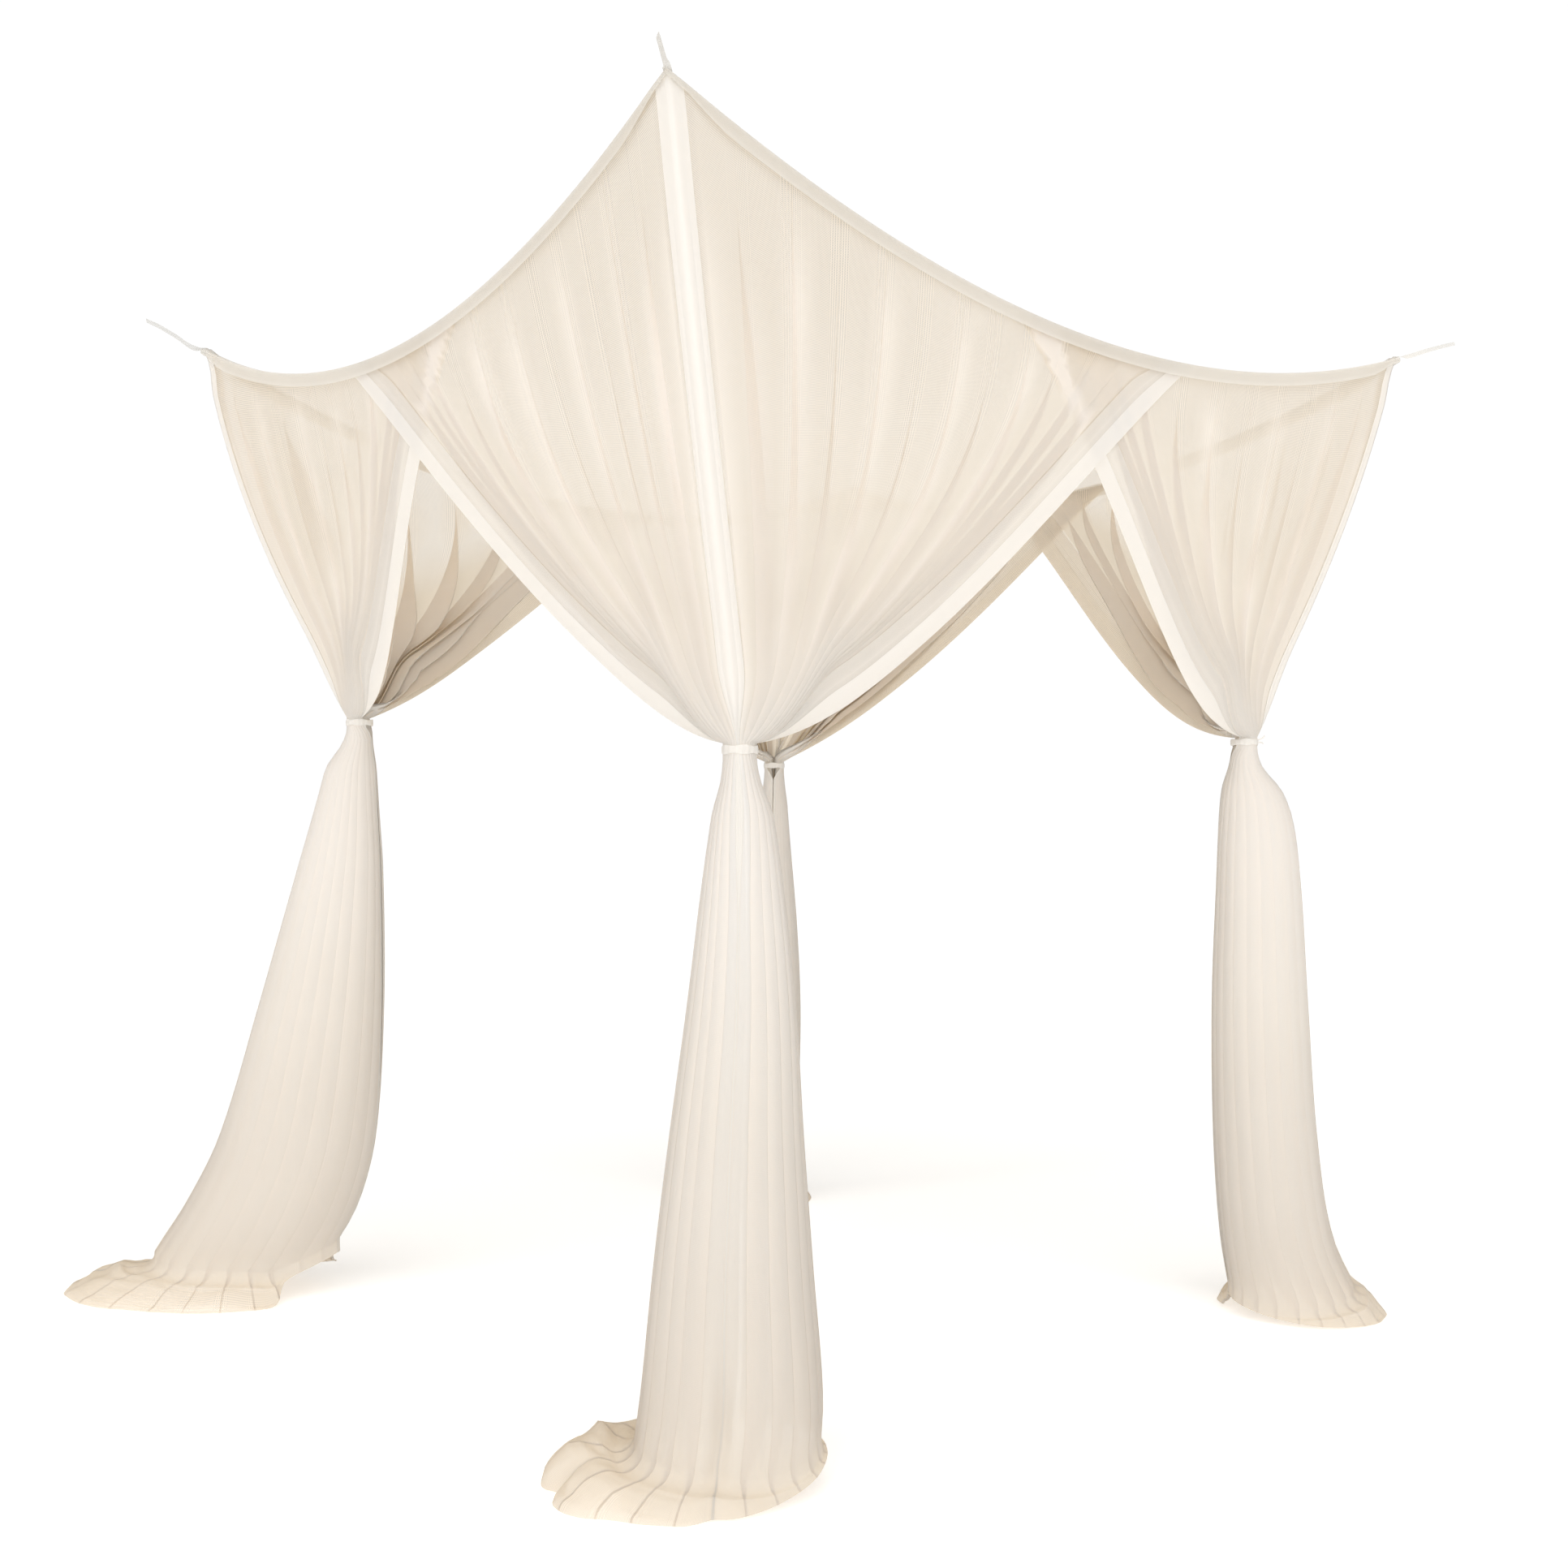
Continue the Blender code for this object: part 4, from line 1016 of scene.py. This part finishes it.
def line_drops(line):
    """How far down the cloth every row is."""
    drops = [0.0]
    for a, b in zip(line, line[1:]):
        drops.append(drops[-1] + (b - a).length)
    scale = FLAT_DROP / drops[-1]
    return [drop * scale for drop in drops]


def finish_piece(piece, node):
    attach(piece, "root")
    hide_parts(node)


def pleated_halves():
    """Both halves of every curtain, each knowing the half that it laps on its side."""
    pairs = {}
    for corner in CORNERS:
        hands = zip(HALVES[corner.name], (-1, 1))
        pairs[corner.name] = [PleatedHalf(corner.name, half, hand) for half, hand in hands]
    halves = [half for pair in pairs.values() for half in pair]
    for half in halves:
        half.other = next(k for k in halves if k is not half and k.half.side == half.half.side)
    return pairs


def line_at(half, width):
    """The number of a half's line at the width where two of its strips meet."""
    return next(k for k, line in enumerate(half.lines) if abs(half.stops[line.stop].width - width) < 1e-6)


Sheet = namedtuple("Sheet", "lines flats drops creased marks")


def whole_sheet(left, right):
    """A whole curtain, from its left free edge to its right one."""
    (lines, marks), (right_lines, right_marks) = left.pleated(), right.pleated()
    drops = line_drops(lines[len(lines) // 2])
    whole = left.start.x + right.start.x
    back = right.lines[::-1][1:]
    flats = [line.flat for line in left.lines] + [whole - line.flat for line in back]
    mouths = [line.pleat is not None and line.along == 0.0 for line in left.lines + back]
    creased = {k for k, mouth in enumerate(mouths) if mouth}
    return Sheet(lines + right_lines[::-1][1:], flats, drops, creased, marks + right_marks[::-1][1:])


def draw_curtain(corner, pair, net, band):
    sheet = whole_sheet(*pair)
    piece = draw_grid("net_" + corner.name, net, *sheet)
    finish_piece(piece, "curtain_" + corner.name)
    draw_bands(corner, pair, sheet, band)


def draw_bands(corner, pair, sheet, band):
    """The bands down a curtain's free edges and its corner, just outside its net."""
    lifts = [band_lift(row) for row in ROWS]
    raised = [
        [point + normal * lift for point, normal, lift in zip(line, row, lifts)]
        for line, row in zip(sheet.lines, grid_normals(sheet.lines))
    ]
    count = len(raised)
    first, start = (line_at(pair[0], width) for width in (BAND_SHARE, CORNER_SHARE))
    last, stop = (count - line_at(pair[1], width) for width in (BAND_SHARE, CORNER_SHARE))
    spans = (
        ("edge_band_" + corner.name + "_left", 0, first + 1, EDGE_CUT),
        ("corner_band_" + corner.name, start, stop, CORNER_CUT),
        ("edge_band_" + corner.name + "_right", last - 1, count, EDGE_CUT),
    )
    for name, low, high, cut in spans:
        across = [flat - sheet.flats[low] for flat in sheet.flats[low:high]]
        inward = across if low == 0 else [across[-1] - place for place in across]
        marks = [band_marks(0.0 if cut is CORNER_CUT else place) for place in inward]
        edges = {k - low for k in sheet.creased}
        strip = draw_grid(name + "_cloth", band, raised[low:high], across, sheet.drops, edges, marks)
        finish_piece(strip, name)


def draw_strip(name, lines, flats, length, cloth, whites=None):
    """A strip of cloth through lines along it. The whites say how strongly each line gets the painted
    highlight.
    """
    steps = len(lines[0]) - 1
    drops = [length * k / steps for k in range(steps + 1)]
    marks = [[(0.0, white)] * (steps + 1) for white in whites] if whites else None
    return draw_grid(name, cloth, lines, flats, drops, (), marks)


def tape_point(own, step, shift, lift):
    distance = own.length * step / SIDE_STEPS
    edge = own.top(distance)
    full = mix(TAPE_NARROW, 1.0, smooth(0.0, TAPE_TAPER, min(distance, own.length - distance)))
    point = Vector((distance, edge.y + shift, edge.z + (lift * full if lift < 0.0 else lift)))
    if step == 0:
        point.x = point.y + SEAM
    if step == SIDE_STEPS:
        point.x = own.length - point.y - SEAM
    return own.world(point)


def draw_tape(side, cloth):
    own = OwnSide(side, side.start)
    lines = [
        [tape_point(own, step, row.shift, row.lift) for step in range(SIDE_STEPS + 1)] for row in TAPE_LINES
    ]
    flats, whites = [row.flat for row in TAPE_LINES], [row.white for row in TAPE_LINES]
    piece = draw_strip("tape_" + side.name + "_cloth", lines, flats, own.length, cloth, whites)
    finish_piece(piece, "tape_" + side.name)


def roof_edge(own, share):
    """A point of the roof's edge, just inside the tapes."""
    point = own.top(mix(ROOF_INSET, own.length - ROOF_INSET, share))
    return own.world(Vector((point.x, point.y + ROOF_INSET, point.z - SEAM)))


def roof_point(near_right, near_left, far_left, far_right, s, t):
    """A point of the roof, stretched between its four edges."""
    point = roof_edge(near_right, s).lerp(roof_edge(far_left, s), t)
    point += roof_edge(near_left, t).lerp(roof_edge(far_right, t), s)
    low = roof_edge(near_right, 0.0).lerp(roof_edge(near_right, 1.0), s)
    high = roof_edge(far_left, 0.0).lerp(roof_edge(far_left, 1.0), s)
    point -= low.lerp(high, t)
    inner = s * (1.0 - s) * t * (1.0 - t) * 16.0
    point.z += ROOF_LIFT * inner
    point.z += ROOF_RIPPLE * inner ** 0.5 * waver(s * 5.0, t * 5.0, 1)
    return point


def draw_roof(net):
    starts = (("near_right", "near"), ("near_left", "near"), ("far_left", "left"), ("far_right", "right"))
    sides = [OwnSide(SIDE[name], corner) for name, corner in starts]
    shares = [k / ROOF_STEPS for k in range(ROOF_STEPS + 1)]
    lines = [[roof_point(*sides, s, t) for t in shares] for s in shares]
    flats = [HALF_LONG * 2.0 * k / ROOF_STEPS for k in range(ROOF_STEPS + 1)]
    piece = draw_strip("roof_net", lines, flats, HALF_SHORT * 2.0, net)
    finish_piece(piece, "roof_panel")


def spoke(angle):
    """The level direction at this angle round a tie."""
    return Vector((math.cos(angle), math.sin(angle), 0.0))


def tie_point(corner, level, k):
    angle = 2.0 * math.pi * k / TIE_STEPS
    pucker = TIE_PUCKER * math.sin(angle * 17.0 + 0.8 * math.sin(angle * 3.0))
    radius = TIE_RADIUS + pucker - TIE_ROLL * level ** 4
    lift = TIE_HALF * level * (1.0 + 0.16 * math.sin(angle * 5.0 + corner.along_x))
    return neck_place(corner) + spoke(angle) * radius + UP * lift


def draw_tie(corner, band):
    """A tie: a strip drawn tight, so that it rolls in at both edges and puckers."""
    lines = [[tie_point(corner, level, k) for k in range(TIE_STEPS + 1)] for level in TIE_LEVELS]
    flats = [TIE_HALF * (level + 1.0) for level in TIE_LEVELS]
    # The whole tie gets the painted highlight.
    whites = [TIE_HIGHLIGHT] * len(TIE_LEVELS)
    piece = draw_strip("tie_" + corner.name + "_cloth", lines, flats, TIE_LENGTH, band, whites)
    for end in TIE_ENDS:
        if end.corner == corner.name:
            join(piece, draw_tie_end(end, neck_place(corner), band))
    finish_piece(piece, "tie_" + corner.name)


def draw_tie_end(end, middle, band):
    """A short free end of a tie, standing out from its knot."""
    out = spoke(math.radians(end.angle))
    turn = Vector((-out.y, out.x, 0.0))
    lines = []
    for side in (1.0, 0.0, -1.0):
        line = []
        for along in (k / TIE_END_STEPS for k in range(TIE_END_STEPS + 1)):
            centre = middle + out * (TIE_RADIUS - TIE_END_TUCK + end.reach * along)
            centre += UP * (end.lift + end.rise * along * along)
            wide = TIE_END_WIDTH * 0.5 * mix(0.7, 1.0, along)
            line.append(centre + UP * (side * wide) + turn * (TIE_END_CURL * side * along))
        lines.append(line)
    flats = [0.0, TIE_END_WIDTH * 0.5, TIE_END_WIDTH]
    return draw_strip("tie_end", lines, flats, end.reach, band)


def join(piece, other):
    """Adds another sheet's mesh to this one's, and takes the other sheet away."""
    joined = bmesh.new()
    joined.from_mesh(piece.data)
    joined.from_mesh(other.data)
    joined.to_mesh(piece.data)
    joined.free()
    bpy.data.objects.remove(other)


def ribbon_point(corner, table, share, side):
    out = Vector((corner.along_x, corner.along_y, 0.0)).normalized()
    turn = Vector((-out.y, out.x, 0.0))
    along = mix(table[0].along, 1.0, share)
    bend = read_table(table, "along", along)
    distance = corner.ribbon * along
    rise = RIBBON_LIFT + max(distance, 0.0) * corner.pull * bend.pull
    centre = corner_place(corner) + out * distance + UP * rise
    twist = RIBBON_TWIST * smooth(0.0, 0.22, along)
    across = turn * math.cos(twist) + UP * math.sin(twist)
    cup = RIBBON_CUP * (1.0 - abs(side))
    return centre + across * (side * RIBBON_WIDTH * 0.5 * bend.narrow) + UP * cup


def draw_ribbon(corner, cloth):
    table = (Bend(-RIBBON_SEWN / corner.ribbon, 0.0, 1.0),) + RIBBON_BENDS
    shares = [k / RIBBON_STEPS for k in range(RIBBON_STEPS + 1)]
    lines = [[ribbon_point(corner, table, share, side) for share in shares] for side in (1.0, 0.0, -1.0)]
    flats = [0.0, RIBBON_WIDTH * 0.5, RIBBON_WIDTH]
    cut = (RIBBON_WIDTH, corner.ribbon + RIBBON_SEWN)
    piece = draw_strip("ribbon_" + corner.name + "_cloth", lines, flats, cut[1], cloth)
    finish_piece(piece, "ribbon_" + corner.name)


# ---- materials ----
def add_node(tree, kind, inputs, **settings):
    """A node with its settings made, and its inputs set to values or linked to sockets."""
    node = tree.nodes.new(kind)
    for key, value in settings.items():
        setattr(node, key, value)
    for key, value in inputs.items():
        if isinstance(value, bpy.types.NodeSocket):
            tree.links.new(value, node.inputs[key])
        else:
            node.inputs[key].default_value = value
    return node


def add_range(tree, value, low, high):
    """The value, moved from the first range to the second one."""
    names = ("From Min", "From Max", "To Min", "To Max")
    node = add_node(tree, "ShaderNodeMapRange", {"Value": value, **dict(zip(names, low + high))})
    return node.outputs["Result"]


def add_ramp(tree, fac, stops):
    """The colour from a ramp through these places and colours."""
    node = add_node(tree, "ShaderNodeValToRGB", {"Fac": fac})
    elements = node.color_ramp.elements
    for place, colour in stops[1:-1]:
        elements.new(place)
    for element, (place, colour) in zip(elements, stops):
        element.position = place
        element.color = tuple(colour) + (1.0,)
    return node.outputs["Color"]


def add_weave(tree, pitch):
    """The threads both ways across the flat cloth: low in a hole, and high on a thread."""
    place = add_node(tree, "ShaderNodeUVMap", {}, uv_map="cloth").outputs["UV"]
    look = {"Scale": 2.0 * math.pi / (20.0 * pitch), "Distortion": 0.0, "Vector": place}
    threads = {}
    for index, direction in enumerate("XY"):
        wave = add_node(tree, "ShaderNodeTexWave", look, wave_type="BANDS", bands_direction=direction)
        threads[index] = wave.outputs["Fac"]
    return add_node(tree, "ShaderNodeMath", threads, operation="MAXIMUM").outputs["Value"]


def add_cover(tree, cloth, threads, creased):
    """How much is covered: more where the cloth is gathered, and most where it gets the painted highlight.
    """
    cover = add_range(tree, threads, HOLE_EDGE, (cloth.hole, cloth.thread))
    gathered = add_node(tree, "ShaderNodeAttribute", {}, attribute_name="gathered").outputs["Fac"]
    dense = add_range(tree, gathered, GATHER_EDGE, (0.0, GATHERED_DENSE))
    denser = add_node(tree, "ShaderNodeMath", {0: dense, 1: creased}, operation="MAXIMUM").outputs["Value"]
    filled = {"Factor": denser, "A": cover, "B": CREASE_COVER}
    return add_node(tree, "ShaderNodeMix", filled, data_type="FLOAT").outputs["Result"]


def add_tone(tree, cloth, creased):
    """The cloth's colour: mottled, with painted shade and highlight by height, and whiter where it gets the
    painted highlight.
    """
    body = add_node(tree, "ShaderNodeTexCoord", {}).outputs["Object"]
    look = {"Scale": MOTTLE_SCALE, "Detail": 3.0, "Vector": body}
    mottle = add_node(tree, "ShaderNodeTexNoise", look).outputs["Fac"]
    tone = add_ramp(tree, mottle, tuple(zip(MOTTLE_EDGE, (cloth.shade, cloth.colour))))
    height = add_node(tree, "ShaderNodeSeparateXYZ", {"Vector": body}).outputs["Z"]
    top = cloth.fades[-1].height
    level = add_range(tree, height, (0.0, top), (0.0, 1.0))
    fade = add_ramp(tree, level, [(row.height / top, row[1:]) for row in cloth.fades])
    look = {"Factor": 1.0, "A": tone, "B": fade}
    faded = add_node(tree, "ShaderNodeMix", look, data_type="RGBA", blend_type="MULTIPLY").outputs["Result"]
    look = {"Factor": creased, "A": faded, "B": cloth.crease + (1.0,)}
    return add_node(tree, "ShaderNodeMix", look, data_type="RGBA").outputs["Result"]


def cloth_material(name, cloth):
    """Woven cloth: threads over holes, lit through as well as on its face.

    Gathered cloth is denser than it is drawn, and where the cloth gets the painted highlight it is denser
    still and painted whiter.
    """
    made = bpy.data.materials.new(name)
    made.use_nodes = True
    tree = made.node_tree
    tree.nodes.clear()
    threads = add_weave(tree, cloth.pitch)
    # The painted highlight mark, which also closes the holes.
    creased = add_node(tree, "ShaderNodeAttribute", {}, attribute_name="crease").outputs["Fac"]
    relief = {"Strength": 0.25, "Distance": THREAD_RELIEF, "Height": threads}
    face = add_node(tree, "ShaderNodeBsdfPrincipled", {
        "Base Color": add_tone(tree, cloth, creased), "Roughness": cloth.roughness,
        "Specular IOR Level": 0.25, "Sheen Weight": SHEEN, "Sheen Roughness": 0.5,
        "Normal": add_node(tree, "ShaderNodeBump", relief).outputs["Normal"],
    })
    through = add_node(tree, "ShaderNodeBsdfTranslucent", {"Color": cloth.warm + (1.0,)})
    lit = add_node(tree, "ShaderNodeMixShader", {
        "Fac": cloth.through, 1: face.outputs["BSDF"], 2: through.outputs["BSDF"],
    })
    clear = add_node(tree, "ShaderNodeBsdfTransparent", {})
    cut = add_node(tree, "ShaderNodeMixShader", {
        "Fac": add_cover(tree, cloth, threads, creased), 1: clear.outputs["BSDF"], 2: lit.outputs["Shader"],
    })
    add_node(tree, "ShaderNodeOutputMaterial", {"Surface": cut.outputs["Shader"]})
    return made


# ---- camera, light and floor ----
def aim(thing, turn, rise):
    """Points a camera or a lamp this way, in degrees, and puts it in the scene."""
    turn, rise = math.radians(turn), math.radians(rise)
    ahead = Vector((math.cos(turn) * math.cos(rise), math.sin(turn) * math.cos(rise), math.sin(rise)))
    thing.rotation_euler = ahead.to_track_quat("-Z", "Y").to_euler()
    bpy.context.scene.collection.objects.link(thing)


def set_camera():
    data = bpy.data.cameras.new("camera")
    data.sensor_width = SENSOR
    data.lens = FOCAL_LENGTH
    camera = bpy.data.objects.new("camera", data)
    camera.location = CAMERA_PLACE
    aim(camera, CAMERA_TURN, CAMERA_RISE)
    bpy.context.scene.camera = camera


def set_light():
    """A soft key from the camera's left, a warm dim fill all round, and white behind."""
    world = bpy.data.worlds.new("studio")
    world.use_nodes = True
    tree = world.node_tree
    fill = tree.nodes["Background"]
    fill.inputs["Color"].default_value = FILL_COLOUR
    fill.inputs["Strength"].default_value = FILL_STRENGTH
    white = add_node(tree, "ShaderNodeBackground", {"Color": WHITE, "Strength": BACKGROUND_STRENGTH})
    path = add_node(tree, "ShaderNodeLightPath", {})
    seen = add_node(tree, "ShaderNodeMixShader", {
        "Fac": path.outputs["Is Camera Ray"], 1: fill.outputs["Background"], 2: white.outputs["Background"],
    })
    tree.links.new(seen.outputs["Shader"], tree.nodes["World Output"].inputs["Surface"])
    bpy.context.scene.world = world
    data = bpy.data.lights.new("key", "SUN")
    data.energy = KEY_STRENGTH
    data.angle = math.radians(KEY_SPREAD)
    data.color = KEY_COLOUR
    aim(bpy.data.objects.new("key", data), KEY_TURN, -KEY_RISE)


def set_floor():
    mesh = bpy.data.meshes.new("floor")
    turns = ((-1, -1), (1, -1), (1, 1), (-1, 1))
    corners = [(x * FLOOR_REACH, y * FLOOR_REACH, FLOOR_LEVEL) for x, y in turns]
    mesh.from_pydata(corners, [], [(0, 1, 2, 3)])
    made = bpy.data.materials.new("floor")
    made.use_nodes = True
    shader = made.node_tree.nodes["Principled BSDF"]
    for name, value in FLOOR_LOOK.items():
        shader.inputs[name].default_value = value
    mesh.materials.append(made)
    floor = bpy.data.objects.new("floor", mesh)
    bpy.context.scene.collection.objects.link(floor)


def main():
    scene = bpy.context.scene
    scene.view_settings.view_transform = "Standard"
    scene.cycles.transparent_max_bounces = 64
    net, band, tape = (cloth_material(name + "_cloth", cloth) for name, cloth in CLOTHS.items())
    set_camera()
    set_light()
    set_floor()
    draw_roof(net)
    for side in SIDES:
        draw_tape(side, tape)
    halves = pleated_halves()
    for corner in CORNERS:
        draw_curtain(corner, halves[corner.name], net, band)
        draw_tie(corner, band)
        draw_ribbon(corner, tape)


main()
